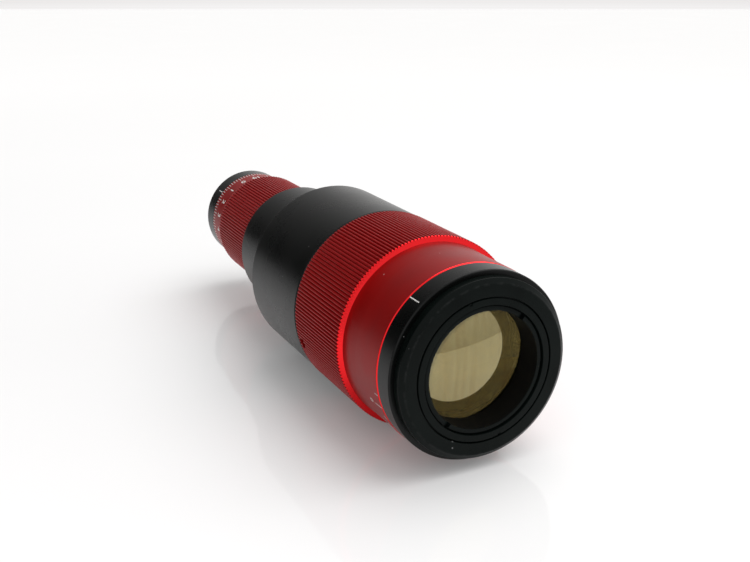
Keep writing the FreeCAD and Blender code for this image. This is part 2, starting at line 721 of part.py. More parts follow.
focus_cam_front = neck_rear + end_play
focus_cam_length = rear_ring_front - end_play - focus_cam_front
focus_floor = focus_cam_radius - size.focus_groove_floor
focus_cam = turned_piece("focus_cam", focus_cam_front, [
    (focus_cam_bore, 0), (focus_cam_radius, 0),
    (focus_cam_radius, focus_cam_length), (focus_cam_bore, focus_cam_length)],
    size.focus_screw_angle)
helical_grooves(focus_cam, focus_cam_bore, focus_floor, focus_follower_stop - focus_cam_front,
                size.follower_angle - size.focus_screw_angle + size.focus_turn / 2,
                size.focus_lead, size.focus_turn, focus_slot_half, 3)
focus_dimple = focus_cam_radius - size.screw_bite
wall_cut(focus_cam, "dimple", 3, focus_dimple, focus_cam_radius + size.free_gap,
         hole_outline(focus_front + size.focus_screw_edge - focus_cam_front, size.screw_radius))
round_group("focus_ring_screws", focus_front + size.focus_screw_edge, size.focus_screw_angle, 3,
            grub_screw(focus_dimple, focus_crest_radius - size.screw_sink))
glide_washer("focus_front_washer", neck_rear, rear_seat, focus_cam_radius - size.free_gap)
glide_washer("focus_rear_washer", rear_ring_front - size.washer_length, rear_seat,
             focus_cam_radius - size.free_gap)


def lens_cell(label, station, radius, length, land, lens_radius, seat_front):
    """Make a sliding lens cell: a thin skirt in front, and the lens's seat at the rear."""
    seat = lens_radius + size.seat_fit
    skirt = radius - size.cell_skirt_wall
    web_front = seat_front - size.lens_lip_length
    return turned_piece(label, station, [
        (skirt, 0),
        (radius, 0),
        (radius, land),
        (radius - size.relief_depth, land),
        (radius - size.relief_depth, length - land),
        (radius, length - land),
        (radius, length),
        (seat, length),
        (seat, seat_front),
        (seat - size.lens_lip, seat_front),
        (seat - size.lens_lip, web_front),
        (skirt, web_front)], size.follower_angle)


def lens_retainer(label, station, lens_radius, length):
    """Make the threaded ring that holds a small lens in its cell."""
    ring = turned_piece(label, station, [
        (lens_radius - size.lens_lip, 0), (lens_radius, 0),
        (lens_radius, length), (lens_radius - size.lens_lip, length)])
    face_notches(ring, lens_radius - size.lens_lip - size.free_gap, lens_radius + size.free_gap, 2,
                 length)


# Zoom carriage and focus carriage: cell, lens, retainer and three follower screws each

zoom_lens_rear = size.zoom_cell_length - size.zoom_retainer_length
zoom_lens_front = zoom_lens_rear - size.zoom_lens_thickness
zoom_cell = lens_cell("zoom_cell", zoom_cell_front, zoom_cell_radius, size.zoom_cell_length,
                      size.zoom_cell_land, size.zoom_lens_radius, zoom_lens_front)
wall_cut(zoom_cell, "tapping", 3, zoom_cell_radius - size.cell_skirt_wall - size.free_gap,
         zoom_cell_radius + size.free_gap,
         hole_outline(size.follower_setback, size.follower_thread_radius + size.seat_fit))
lens("zoom_lens", size.zoom_lens_radius, size.zoom_lens_thickness, size.zoom_lens_curve,
     zoom_cell_front + zoom_lens_front, size.zoom_lens_rim)
lens_retainer("zoom_lens_retainer", zoom_cell_front + zoom_lens_rear, size.zoom_lens_radius,
              size.zoom_retainer_length)
round_group("zoom_followers", zoom_follower_rest, size.follower_angle, 3, follower(
    zoom_cell_radius - size.cell_skirt_wall, zoom_cell_radius + size.seat_fit,
    zoom_floor - size.slot_fit * 2, size.follower_radius, size.follower_thread_radius))

focus_lens_rear = size.focus_cell_length - size.focus_retainer_length
focus_lens_front = focus_lens_rear - size.focus_lens_thickness
focus_lip_radius = size.focus_lens_radius + size.seat_fit - size.lens_lip
focus_cell = lens_cell("focus_cell", focus_cell_front, focus_cell_radius, size.focus_cell_length,
                       size.focus_cell_land, size.focus_lens_radius,
                       focus_lens_front + sagitta(size.focus_lens_curve, focus_lip_radius)
                       - size.seat_fit)
wall_cut(focus_cell, "tapping", 3, focus_cell_radius - size.cell_skirt_wall - size.free_gap,
         focus_cell_radius + size.free_gap,
         hole_outline(size.follower_setback, size.focus_thread_radius + size.seat_fit))
lens("focus_lens", size.focus_lens_radius, size.focus_lens_thickness, size.focus_lens_curve,
     focus_cell_front + focus_lens_front)
lens_retainer("focus_lens_retainer", focus_cell_front + focus_lens_rear, size.focus_lens_radius,
              size.focus_retainer_length)
round_group("focus_followers", focus_follower_rest, size.follower_angle, 3, follower(
    focus_cell_radius - size.cell_skirt_wall, focus_cell_radius + size.seat_fit,
    focus_floor - size.slot_fit * 2, size.focus_follower_radius, size.focus_thread_radius))

# Build, check and write every sub-part

SUB_PARTS = [
    "front_ring", "index_ring", "output_cell", "output_lens", "output_retaining_ring",
    "guide_barrel", "main_body", "rear_guide_tube", "rear_index_ring",
    "zoom_ring", "zoom_cam", "zoom_ring_screws", "zoom_front_washer", "zoom_rear_washer",
    "focus_ring", "focus_cam", "focus_ring_screws", "focus_front_washer", "focus_rear_washer",
    "zoom_cell", "zoom_lens", "zoom_lens_retainer", "zoom_followers",
    "focus_cell", "focus_lens", "focus_lens_retainer", "focus_followers",
]

doc.recompute()
for item in doc.Objects:
    if "Invalid" in item.State or "Error" in item.State:
        raise RuntimeError(f"{item.Name} did not build: {item.State}")
os.makedirs("parts", exist_ok=True)
for node in SUB_PARTS:
    shape = doc.getObject(node).Shape
    if shape.isNull() or not shape.isValid() or not shape.Solids:
        raise RuntimeError(f"{node} has no valid solid")
    shape.exportStep(f"parts/{node}.step")
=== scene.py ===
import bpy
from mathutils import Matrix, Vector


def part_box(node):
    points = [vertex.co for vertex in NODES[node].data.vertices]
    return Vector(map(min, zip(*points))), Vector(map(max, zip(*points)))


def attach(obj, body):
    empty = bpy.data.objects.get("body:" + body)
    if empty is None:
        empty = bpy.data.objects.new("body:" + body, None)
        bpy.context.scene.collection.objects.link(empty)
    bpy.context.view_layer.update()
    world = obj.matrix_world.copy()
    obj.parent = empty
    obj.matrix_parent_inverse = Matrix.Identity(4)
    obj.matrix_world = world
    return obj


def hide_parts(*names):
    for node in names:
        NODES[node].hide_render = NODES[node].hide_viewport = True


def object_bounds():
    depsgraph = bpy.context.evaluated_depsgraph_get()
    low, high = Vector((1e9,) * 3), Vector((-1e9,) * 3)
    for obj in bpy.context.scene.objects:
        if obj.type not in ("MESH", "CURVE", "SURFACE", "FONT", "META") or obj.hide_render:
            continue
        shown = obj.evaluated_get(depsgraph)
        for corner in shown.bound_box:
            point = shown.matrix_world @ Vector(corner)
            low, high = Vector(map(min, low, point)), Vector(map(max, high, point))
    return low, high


bl_info = {
    "name": "Zoom Beam Expander",
    "version": (1, 0, 0),
    "blender": (4, 5, 0),
    "location": "View3D > Sidebar > Beam Expander",
    "description": "Dresses a zoom laser beam expander round its packed frame",
    "category": "Object",
}

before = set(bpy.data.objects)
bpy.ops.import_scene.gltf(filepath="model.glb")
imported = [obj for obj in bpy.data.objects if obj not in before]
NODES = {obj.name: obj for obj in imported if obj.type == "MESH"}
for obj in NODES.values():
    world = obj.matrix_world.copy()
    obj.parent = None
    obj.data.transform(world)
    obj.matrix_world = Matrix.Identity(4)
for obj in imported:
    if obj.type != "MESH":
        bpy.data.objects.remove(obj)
CAD_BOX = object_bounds()

import math

import bmesh
import bpy
from bpy.props import FloatProperty, FloatVectorProperty, IntProperty, PointerProperty
from mathutils import Matrix, Vector

# The optical axis is Y and the front face has the lowest Y. Angles on the barrel go from +X
# towards +Z. Outlines are in millimetres: (inwards from the node's outside, behind its front).

MM = 0.001
AXIS = (0.0, -1.0, 0.0)
FRONT_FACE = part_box("front_ring")[0].y
FLOOR_HEIGHT = CAD_BOX[0].z
SMOOTH_ANGLE = math.radians(32.0)
PAST = 0.001                    # how far a cutting tool reaches past the piece
ZOOM_SCALE_DEPTH = 1.8          # millimetres from a knurl's crests down to the smooth scale
FOCUS_SCALE_DEPTH = 1.4
ZOOM_SCREW_PLACE = 45.0         # millimetres from the ring's front to its grub screws
FOCUS_SCREW_PLACE = 2.7
ZOOM_SCREWS, FOCUS_SCREWS = 2, 3


# Settings that a user would change

def length(name, description, default):
    """Describe a length, given in millimetres."""
    return FloatProperty(name=name, description=description, default=default * MM,
                         min=0.0, precision=5, unit="LENGTH")


def colour(name, description, default):
    """Describe a colour."""
    return FloatVectorProperty(name=name, description=description, default=default,
                               size=3, min=0.0, max=1.0, subtype="COLOR")


def share(name, description, default):
    """Describe a number from 0 to 1."""
    return FloatProperty(name=name, description=description, default=default,
                         min=0.0, max=1.0, subtype="FACTOR")


def count(name, description, default, least, most):
    """Describe a whole number."""
    return IntProperty(name=name, description=description, default=default,
                       min=least, max=most)


def turn(name, description, default):
    """Describe an angle round the barrel, given in degrees."""
    return FloatProperty(name=name, description=description,
                         default=math.radians(default), subtype="ANGLE")


class BarrelSizes(bpy.types.PropertyGroup):
    """Sizes of the turned pieces."""

    edge_softness: length("Edge softness", "Rounding of every turned edge", 0.1)
    edge_segments: count("Edge segments", "Facets of a rounded edge", 2, 1, 6)
    round_steps: count("Round steps", "Facets round a plain ring", 256, 32, 1024)
    rib_steps: count("Rib steps", "Facets of one knurl rib", 8, 4, 16)
    zoom_ribs: count("Zoom ribs", "Ribs round the zoom ring", 170, 12, 400)
    focus_ribs: count("Focus ribs", "Ribs round the focus ring", 113, 12, 400)
    rib_depth: length("Rib depth", "Depth of the knurl's grooves", 0.38)
    rib_crest: share("Rib crest", "Share of the pitch at full height", 0.36)
    screw_angle: turn("Zoom screw angle", "First grub screw of the zoom ring", 196.25)
    focus_screw_angle: turn("Focus screw angle", "First grub screw of the focus ring", 253.45)
    screw_hole: length("Screw hole", "Radius of a grub screw's hole", 1.5)
    notch_width: length("Notch width", "Spanner notch, across", 1.6)
    notch_depth: length("Notch depth", "Spanner notch, along the axis", 1.2)
    cell_notch_width: length("Cell notch width", "Shallow notch of the cell, across", 0.9)
    cell_notch_depth: length("Cell notch depth", "Shallow notch, along the axis", 0.3)
    cell_notch_angle: turn("Cell notch angle", "First notch of the output cell", 104.75)
    retainer_notch_angle: turn("Retainer notch angle", "First notch of the retaining ring", 50.55)
    thread_pitch: length("Thread pitch", "Pitch of the input thread", 1.0)
    thread_depth: length("Thread depth", "Depth of the input thread", 0.6)
    lens_curve: length("Lens curve", "Radius of the output lens's front", 82.0)
    lens_rear_curve: length("Lens rear curve", "Radius of the output lens's rear", 66.0)


class MarkSizes(bpy.types.PropertyGroup):
    """Sizes of the inlaid scale marks."""

    thickness: length("Thickness", "Thickness of the paint in a mark", 0.06)
    proud: length("Proud", "How far a mark stands out of its ring", 0.015)
    line: length("Line", "Width of a scale line", 0.2)
    index_line: length("Index line", "Width of the index line", 0.3)
    figure: length("Figure", "Height of the zoom ring's figures", 1.7)
    focus_figure: length("Focus figure", "Height of the focus ring's figures", 2.4)
    index_angle: turn("Index angle", "Index line, round the barrel", 130.65)
    first_long: turn("First long line", "Long line of the zoom scale's 0", 200.85)
    step: turn("Zoom step", "From one figure of the zoom scale to the next", 16.6)
    rear_index_angle: turn("Rear index angle", "Index line of the rear ring", 138.85)
    focus_first: turn("First focus figure", "Long line of the focus scale's 0", 112.0)
    focus_step: turn("Focus step", "From one figure of the focus scale to the next", 18.0)


class FinishColours(bpy.types.PropertyGroup):
    """Colours and gloss of the finishes."""

    black: colour("Black", "Black anodising", (0.0016, 0.0020, 0.0018))
    front_black: colour("Front black", "Black of the front faces", (0.0028, 0.0046, 0.0040))
    black_rough: share("Black roughness", "Roughness of the black anodising", 0.28)
    inner: colour("Inner black", "Matt black inside the barrel", (0.0025, 0.0025, 0.0025))
    red: colour("Red", "Red anodising", (0.28, 0.0016, 0.0014))
    red_rough: share("Red roughness", "Roughness of the red anodising", 0.5)
    # The crest red is a painted highlight on the knurl's crests, and the groove red painted shade
    # in its grooves.
    crest: colour("Crest highlight", "Red on the knurl's crests", (0.36, 0.004, 0.005))
    groove: colour("Groove shade", "Red in the knurl's grooves", (0.26, 0.001, 0.001))
    cut: colour("Cut red", "Red of the bright cut faces", (0.96, 0.014, 0.019))
    coating: colour("Coating", "Tint of the output lens's front coating", (1.0, 0.87, 0.40))
    rear_coating: colour("Rear coating", "Tint of its rear coating", (1.0, 0.93, 0.62))
    glass: colour("Glass", "Tint of the clear glass", (0.96, 0.98, 0.96))
    paint: colour("Paint", "White paint of the scale marks", (0.78, 0.77, 0.74))
    steel: colour("Steel", "Grub screws", (0.10, 0.10, 0.105))
    brass: colour("Brass", "Follower screws", (0.72, 0.50, 0.20))
    plastic: colour("Plastic", "Glide washers", (0.75, 0.74, 0.70))
    floor: colour("Floor", "Floor board", (0.93, 0.925, 0.925))
    dim_side: colour("Dim side", "Studio wall on the left", (0.008, 0.008, 0.008))
    bright_side: colour("Bright side", "Studio wall on the right", (0.92, 0.91, 0.90))
    near_side: colour("Near side", "Studio behind the camera and overhead", (0.87, 0.87, 0.87))
    table: colour("Table", "Table in front of the floor board", (0.52, 0.52, 0.52))
    haze: colour("Haze", "Far end of the background", (0.79, 0.765, 0.76))


SIZES = "beam_expander_sizes"
MARKS = "beam_expander_marks"
COLOURS = "beam_expander_colours"


def sizes():
    """Give the barrel's sizes."""
    return getattr(bpy.context.scene, SIZES)


def marks():
    """Give the sizes of the scale marks."""
    return getattr(bpy.context.scene, MARKS)


def colours():
    """Give the colours of the finishes."""
    return getattr(bpy.context.scene, COLOURS)


# Mesh tools

def outside(node):
    """Give a node's outside radius and the station of its front, in metres."""
    low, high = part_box(node)
    return high.x, low.y


def on_node(node, outline):
    """Turn an outline of a node, in millimetres, into (radius, station) corners in metres."""
    radius, front = outside(node)
    return [(radius - inwards * MM, front + behind * MM) for inwards, behind in outline]


def draw_profile(corners):
    """Draw a closed outline as a wire, with its corners rounded."""
    given = sizes()
    mesh = bmesh.new()
    mesh.faces.new([mesh.verts.new((radius, station, 0.0)) for radius, station in corners])
    if given.edge_softness:
        bmesh.ops.bevel(mesh, geom=mesh.verts[:], offset=given.edge_softness,
                        offset_type="OFFSET", segments=given.edge_segments, profile=0.5,
                        affect="VERTICES", material=-1, clamp_overlap=True)
    bmesh.ops.delete(mesh, geom=mesh.faces[:], context="FACES_ONLY")
    return mesh


def spin_round(mesh, steps):
    """Turn a wire about the barrel's axis into a closed skin."""
    bmesh.ops.spin(mesh, geom=mesh.verts[:] + mesh.edges[:], cent=(0, 0, 0), axis=AXIS,
                   dvec=(0, 0, 0), angle=2 * math.pi, steps=steps, use_merge=True)
    close(mesh)


def spin_in_sectors(mesh, steps, sectors):
    """Turn a wire into a closed skin one sector at a time, which is quicker for many steps."""
    bmesh.ops.spin(mesh, geom=mesh.verts[:] + mesh.edges[:], cent=(0, 0, 0), axis=AXIS,
                   dvec=(0, 0, 0), angle=2 * math.pi / sectors, steps=steps // sectors)
    sector = bpy.data.meshes.new("sector")
    mesh.to_mesh(sector)
    for part in range(1, sectors):
        count = len(mesh.verts)
        mesh.from_mesh(sector)
        mesh.verts.ensure_lookup_table()
        turn_round(mesh, part * 2 * math.pi / sectors, mesh.verts[count:])
    bpy.data.meshes.remove(sector)
    close(mesh)


def close(mesh):
    """Merge doubles and point every face outwards."""
    bmesh.ops.remove_doubles(mesh, verts=mesh.verts[:], dist=1e-7)
    bmesh.ops.recalc_face_normals(mesh, faces=mesh.faces[:])


def turn_round(mesh, angle, verts=None):
    """Turn a mesh about the barrel's axis, from +X towards +Z."""
    bmesh.ops.rotate(mesh, cent=(0, 0, 0), matrix=Matrix.Rotation(-angle, 3, "Y"),
                     verts=mesh.verts[:] if verts is None else verts)


def shade(data):
    """Smooth a mesh but for its sharp edges."""
    data.shade_smooth()
    data.set_sharp_from_angle(angle=SMOOTH_ANGLE)


def add_object(name, data):
    """Add an object to the scene."""
    made = bpy.data.objects.new(name, data)
    bpy.context.scene.collection.objects.link(made)
    return made


def finish_piece(mesh, name, *materials):
    """Make a piece from a mesh, with smooth faces that stay crisp at its edges."""
    data = bpy.data.meshes.new(name)
    mesh.to_mesh(data)
    mesh.free()
    shade(data)
    piece = add_object(name, data)
    for material in materials:
        data.materials.append(material)
    return piece


def turned(name, outline, *materials):
    """Make a turned piece from an outline on its CAD node."""
    mesh = draw_profile(on_node(name, outline))
    spin_round(mesh, sizes().round_steps)
    return finish_piece(mesh, f"{name}_dressed", *materials)


def evaluated_mesh(piece):
    """Give a piece's mesh with its modifiers applied."""
    graph = bpy.context.evaluated_depsgraph_get()
    return bpy.data.meshes.new_from_object(
        piece.evaluated_get(graph), preserve_all_data_layers=True, depsgraph=graph)


def carve(piece, tool_mesh, operation="DIFFERENCE"):
    """Cut a tool out of a piece, or add it, and keep the result as the piece's own mesh."""
    tool = finish_piece(tool_mesh, "tool")
    modifier = piece.modifiers.new("Cut", "BOOLEAN")
    modifier.operation = operation
    modifier.solver = "EXACT"
    modifier.object = tool
    data = evaluated_mesh(piece)
    piece.modifiers.clear()
    old = piece.data
    piece.data = data
    data.name = old.name
    bpy.data.meshes.remove(old)
    spent = tool.data
    bpy.data.objects.remove(tool)
    bpy.data.meshes.remove(spent)
    if len(data.polygons) < 10:
        raise RuntimeError(f"{piece.name} was lost in a cut")
    shade(data)


def add_pin(mesh, radius, inner, outer, station, angle, sides=32):
    """Add a round pin that points outwards from the axis."""
    made = bmesh.ops.create_cone(
        mesh, cap_ends=True, cap_tris=False, segments=sides, radius1=radius, radius2=radius,
        depth=outer - inner, matrix=Matrix.Translation(((inner + outer) / 2, station, 0))
        @ Matrix.Rotation(math.pi / 2, 4, "Y"))
    turn_round(mesh, angle, made["verts"])
    return made["verts"]


def add_block(mesh, inner, outer, low, high, width, angle):
    """Add a block that reaches from inner to outer radius and from one station to another."""
    made = bmesh.ops.create_cube(mesh, size=1.0, matrix=Matrix.Translation((
        (inner + outer) / 2, (low + high) / 2, 0)) @ Matrix.Diagonal((
            outer - inner, high - low, width, 1)))
    turn_round(mesh, angle, made["verts"])


def spread_round(first, count):
    """Give angles spread evenly round the barrel from the first."""
    return [first + k * 2 * math.pi / count for k in range(count)]


def put(piece, body, slot_name, *nodes):
    """Let a piece ride on its body and stand for its CAD nodes; its slot name is not used."""
    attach(piece, body)
    if nodes:
        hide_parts(*nodes)


def put_turned(piece, body, slot_name, name):
    """Put a turned piece on its body, whose flat faces keep their normals beside its edges."""
    modifier = piece.modifiers.new("Flat faces", "WEIGHTED_NORMAL")
    modifier.keep_sharp = True
    modifier.weight = 80
    put(piece, body, slot_name, name)


# Node tools

def feed(tree, socket, value):
    """Link a socket to a value, or set it."""
    if isinstance(value, bpy.types.NodeSocket):
        tree.links.new(value, socket)
    elif socket.type == "RGBA":
        socket.default_value = (*value[:3], 1.0)
    else:
        socket.default_value = value


def node(tree, kind, inputs=None, **settings):
    """Add a node with its settings and the values or links of its inputs."""
    made = tree.nodes.new(kind)
    for key, value in settings.items():
        setattr(made, key, value)
    for key, value in (inputs or {}).items():
        feed(tree, made.inputs[key], value)
    return made


def maths(tree, operation, first, second=0.0, clamp=False):
    """Add a maths node and give its result."""
    return node(tree, "ShaderNodeMath", {0: first, 1: second},
                operation=operation, use_clamp=clamp).outputs[0]


def spread(tree, value, low, high, to_low=0.0, to_high=1.0):
    """Map a value from one range to another."""
    return node(tree, "ShaderNodeMapRange", {
        "Value": value, "From Min": low, "From Max": high,
        "To Min": to_low, "To Max": to_high}).outputs["Result"]


def blend_colours(tree, factor, first, second):
    """Mix two colours."""
    return node(tree, "ShaderNodeMix", {0: factor, 6: first, 7: second},
                data_type="RGBA").outputs[2]


def new_group(name, numbers, *outputs):
    """Start a node group with a vector and numbers as inputs, and numbers as outputs."""
    tree = bpy.data.node_groups.new(name, "ShaderNodeTree")
    tree.interface.new_socket(name="Vector", in_out="INPUT", socket_type="NodeSocketVector")
    for title, value in numbers.items():
        socket = tree.interface.new_socket(name=title, in_out="INPUT",
                                           socket_type="NodeSocketFloat")
        socket.default_value = value
    for title in outputs:
        tree.interface.new_socket(name=title, in_out="OUTPUT", socket_type="NodeSocketFloat")
    return (tree, tree.nodes.new("NodeGroupInput").outputs,
            tree.nodes.new("NodeGroupOutput").inputs)


def noise(tree, vector, scale, detail=2.0, rough=0.5):
    """Add a noise texture and give its value."""
    return node(tree, "ShaderNodeTexNoise", {
        "Vector": vector, "Scale": scale, "Detail": detail, "Roughness": rough}).outputs["Fac"]


def axis_distance(tree, vector):
    """Give the distance from the barrel's axis and the station along it."""
    parts = node(tree, "ShaderNodeSeparateXYZ", {0: vector})
    squares = maths(tree, "ADD", maths(tree, "MULTIPLY", parts.outputs[0], parts.outputs[0]),
                    maths(tree, "MULTIPLY", parts.outputs[2], parts.outputs[2]))
    return maths(tree, "SQRT", squares), parts.outputs[1]


def blasted_grain():
    """Build the fine grain of blasted and anodised metal."""
    tree, given, result = new_group("Blasted grain", {"Scale": 5000.0}, "Height", "Variation")
    fine = noise(tree, given["Vector"], given["Scale"], 3.0, 0.6)
    coarse = noise(tree, given["Vector"],
                   maths(tree, "MULTIPLY", given["Scale"], 0.02), 4.0)
    tree.links.new(fine, result["Height"])
    tree.links.new(coarse, result["Variation"])
    return tree


def turning_marks():
    """Build the fine rings that a lathe tool leaves on faces and round walls."""
    tree, given, result = new_group("Turning marks", {"Scale": 9000.0}, "Height")
    distance, station = axis_distance(tree, given["Vector"])
    path = maths(tree, "ADD", distance, station)
    lines = node(tree, "ShaderNodeTexNoise", {
        "W": maths(tree, "MULTIPLY", path, given["Scale"]), "Scale": 1.0,
        "Detail": 2.0}, noise_dimensions="1D")
    tree.links.new(lines.outputs["Fac"], result["Height"])
    return tree


def dust_specks():
    """Build sparse specks of dust."""
    tree, given, result = new_group("Dust specks", {"Scale": 900.0, "Amount": 0.06}, "Mask")
    cells = node(tree, "ShaderNodeTexVoronoi", {
        "Vector": given["Vector"], "Scale": given["Scale"]})
    pick, size, _ = node(tree, "ShaderNodeSeparateColor", {0: cells.outputs["Color"]}).outputs
    chosen = maths(tree, "LESS_THAN", pick, given["Amount"])
    near = maths(tree, "LESS_THAN", cells.outputs["Distance"],
                 maths(tree, "MULTIPLY", size, 0.22))
    tree.links.new(maths(tree, "MULTIPLY", chosen, near), result["Mask"])
    return tree


def rib_crests():
    """Build the masks of a painted highlight on the crests at a knurl's full height and of
    painted shade in its grooves.
    """
    tree, given, result = new_group("Crest highlight and groove shade", {"Radius": 0.027, "Depth": 0.0004},
                                    "Mask", "Groove shade")
    distance, _ = axis_distance(tree, given["Vector"])
    below = maths(tree, "DIVIDE", maths(tree, "SUBTRACT", given["Radius"], distance),
                  given["Depth"])
    # The first mask paints a highlight on the crests, the second paints shade into the grooves.
    tree.links.new(spread(tree, below, 0.06, 0.3, 1.0, 0.0), result["Mask"])
    tree.links.new(spread(tree, below, 0.25, 0.95), result["Groove shade"])
    return tree


def worn_edges():
    """Build the mask of a painted highlight along an edge, broken up along its way."""
    tree, given, result = new_group("Painted edge highlight", {"Radius": 0.0224, "Width": 0.0001}, "Mask")
    distance, _ = axis_distance(tree, given["Vector"])
    off = maths(tree, "DIVIDE", maths(tree, "ABSOLUTE", maths(
        tree, "SUBTRACT", distance, given["Radius"])), given["Width"])
    broken = spread(tree, noise(tree, given["Vector"], 700.0, 4.0, 0.6), 0.42, 0.62)
    tree.links.new(maths(tree, "MULTIPLY", spread(tree, off, 0.4, 1.2, 1.0, 0.0), broken),
                   result["Mask"])
    return tree


EFFECTS = {}


def effect(tree, name, place, **values):
    """Place a shared effect in a material with its own values."""
    builders = {"grain": blasted_grain, "turning": turning_marks,
                "dust": dust_specks, "crests": rib_crests, "painted_highlight": worn_edges}
    if name not in EFFECTS:
        EFFECTS[name] = builders[name]()
    made = tree.nodes.new("ShaderNodeGroup")
    made.node_tree = EFFECTS[name]
    tree.links.new(place, made.inputs["Vector"])
    for key, value in values.items():
        feed(tree, made.inputs[key], value)
    return made.outputs


def new_material(name):
    """Start a material, and give its tree, its Principled shader and its Object coordinates."""
    made = bpy.data.materials.new(name)
    made.use_nodes = True
    tree = made.node_tree
    shader = tree.nodes["Principled BSDF"]
    place = tree.nodes.new("ShaderNodeTexCoord").outputs["Object"]
    return made, tree, shader, place


def drive(tree, shader, **inputs):
    """Set a shader's sockets to values or links."""
    for key, value in inputs.items():
        feed(tree, shader.inputs[key.replace("_", " ")], value)


def varied(tree, grain, low=0.0, high=1.0):
    """Let a value wander between two limits with the coarse part of the grain."""
    return spread(tree, grain["Variation"], 0.3, 0.7, low, high)


def shades(tint, *levels):
    """Give darker or lighter shades of a tint."""
    return [[min(1.0, part * level) for part in tint] for level in levels]


def press(tree, shader, height, strength, depth=0.00002):
    """Press a height into a shader's surface."""
    bump = node(tree, "ShaderNodeBump", {
        "Height": height, "Strength": strength, "Distance": depth})
    tree.links.new(bump.outputs["Normal"], shader.inputs["Normal"])


def rough_skin(tree, shader, grain, turning, *amounts):
    """Press grain and turning marks into a shader's surface."""
    press(tree, shader, maths(tree, "ADD", grain, maths(tree, "MULTIPLY", turning, 0.8)),
          *amounts)


def black_anodising(name, tint, rough, strength=0.1, dust=0.02, ior=1.285, painted_highlight=None):
    """Make black anodising: satin, blasted, with faint turning marks, a little dust and, at one
    radius, a painted highlight along an edge."""
    made, tree, shader, place = new_material(name)
    grain = effect(tree, "grain", place, Scale=4200.0)
    turning = effect(tree, "turning", place, Scale=7000.0)
    specks = effect(tree, "dust", place, Amount=dust)
    mottled = blend_colours(tree, varied(tree, grain), *shades(tint, 0.75, 1.3))
    # Dust specks are painted pale, and so, at one radius, is a painted highlight along the edge.
    pale = specks["Mask"]
    if painted_highlight:
        edge = effect(tree, "painted_highlight", place, Radius=painted_highlight, Width=0.0003)
        pale = maths(tree, "MAXIMUM", pale, maths(tree, "MULTIPLY", edge["Mask"], 0.06))
    drive(tree, shader, Base_Color=blend_colours(tree, pale, mottled, (0.16,) * 3),
          Roughness=maths(tree, "ADD", varied(tree, grain, rough - 0.02, rough + 0.02),
                          maths(tree, "MULTIPLY", specks["Mask"], 0.3), clamp=True),
          IOR=ior)
    rough_skin(tree, shader, grain["Height"], turning["Height"], strength)
    return made


def red_anodising(name, tint, rough):
    """Make red anodising: a dyed clear film over blasted aluminium."""
    made, tree, shader, place = new_material(name)
    grain = effect(tree, "grain", place, Scale=4200.0)
    turning = effect(tree, "turning", place, Scale=5000.0)
    specks = effect(tree, "dust", place, Amount=0.03)
    mottled = blend_colours(tree, varied(tree, grain), *shades(tint, 0.88, 1.12))
    drive(tree, shader, Base_Color=blend_colours(tree, specks["Mask"], mottled, (0.5, 0.3, 0.3)),
          Metallic=0.42, IOR=1.25, Coat_Weight=0.24, Coat_Roughness=0.24, Coat_IOR=1.38,
          Roughness=varied(tree, grain, rough - 0.05, rough + 0.05))
    rough_skin(tree, shader, grain["Height"], turning["Height"], 0.3)
    return made


def knurl_anodising(name, crest_radius):
    """Make the knurl's red: crests painted bright as a highlight, full colour on the flanks,
    grooves painted dark as shade.
    """
    chosen = colours()
    made, tree, shader, place = new_material(name)
    grain = effect(tree, "grain", place, Scale=4200.0)
    crest = effect(tree, "crests", place, Radius=crest_radius, Depth=sizes().rib_depth)
    # Painted shade: the grooves are painted darker; painted highlight: the crests are painted
    # lighter.
    flank = blend_colours(tree, crest["Groove shade"], chosen.red, chosen.groove)
    drive(tree, shader, Base_Color=blend_colours(tree, crest["Mask"], flank, chosen.crest),
          Metallic=0.45, IOR=1.15,
          Roughness=maths(tree, "SUBTRACT", varied(tree, grain, 0.36, 0.46),
                          maths(tree, "MULTIPLY", crest["Mask"], 0.1)))
    rough_skin(tree, shader, grain["Height"], grain["Height"], 0.25)
    return made


def cut_anodising(name):
    """Make the bright cut faces: dyed, with a fine turned shine."""
    chosen = colours()
    made, tree, shader, place = new_material(name)
    turning = effect(tree, "turning", place, Scale=11000.0)
    grain = effect(tree, "grain", place, Scale=1500.0)
    drive(tree, shader, Base_Color=blend_colours(
        tree, turning["Height"], *shades(chosen.cut, 0.85, 1.0)),
          Metallic=1.0, Coat_Weight=0.2, Coat_Roughness=0.15,
          Roughness=varied(tree, grain, 0.16, 0.24))
    rough_skin(tree, shader, grain["Height"], turning["Height"], 0.2, 0.00001)
    return made


def painted_mark(name, tint):
    """Make the slightly uneven paint of a filled engraving."""
    made, tree, shader, place = new_material(name)
    patchy = noise(tree, place, 2500.0, 3.0)
    drive(tree, shader, Base_Color=blend_colours(
        tree, spread(tree, patchy, 0.35, 0.7), *shades(tint, 1.0, 0.72)),
          Roughness=spread(tree, patchy, 0.3, 0.7, 0.5, 0.7))
    press(tree, shader, patchy, 0.3)
    return made


def lens_glass(name, tint, metallic):
    """Make lens glass with a coating, which mirrors as much as metallic says, whose tint is
    streaked along its height, and a trace of dust on it."""
    made, tree, shader, place = new_material(name)
    specks = effect(tree, "dust", place, Scale=1500.0, Amount=0.004)
    stretched = node(tree, "ShaderNodeMapping", {"Vector": place, "Scale": (1.0, 1.0, 0.06)})
    film = noise(tree, stretched.outputs[0], 700.0, 3.0)
    streak_tint = [part * kept for part, kept in zip(tint, (0.9, 0.82, 0.74))]
    drive(tree, shader, Metallic=metallic, Transmission_Weight=1.0, IOR=1.52,
          Base_Color=blend_colours(tree, spread(tree, film, 0.35, 0.7), streak_tint, tint),
          Roughness=maths(tree, "MULTIPLY", specks["Mask"], 0.5))
    return made


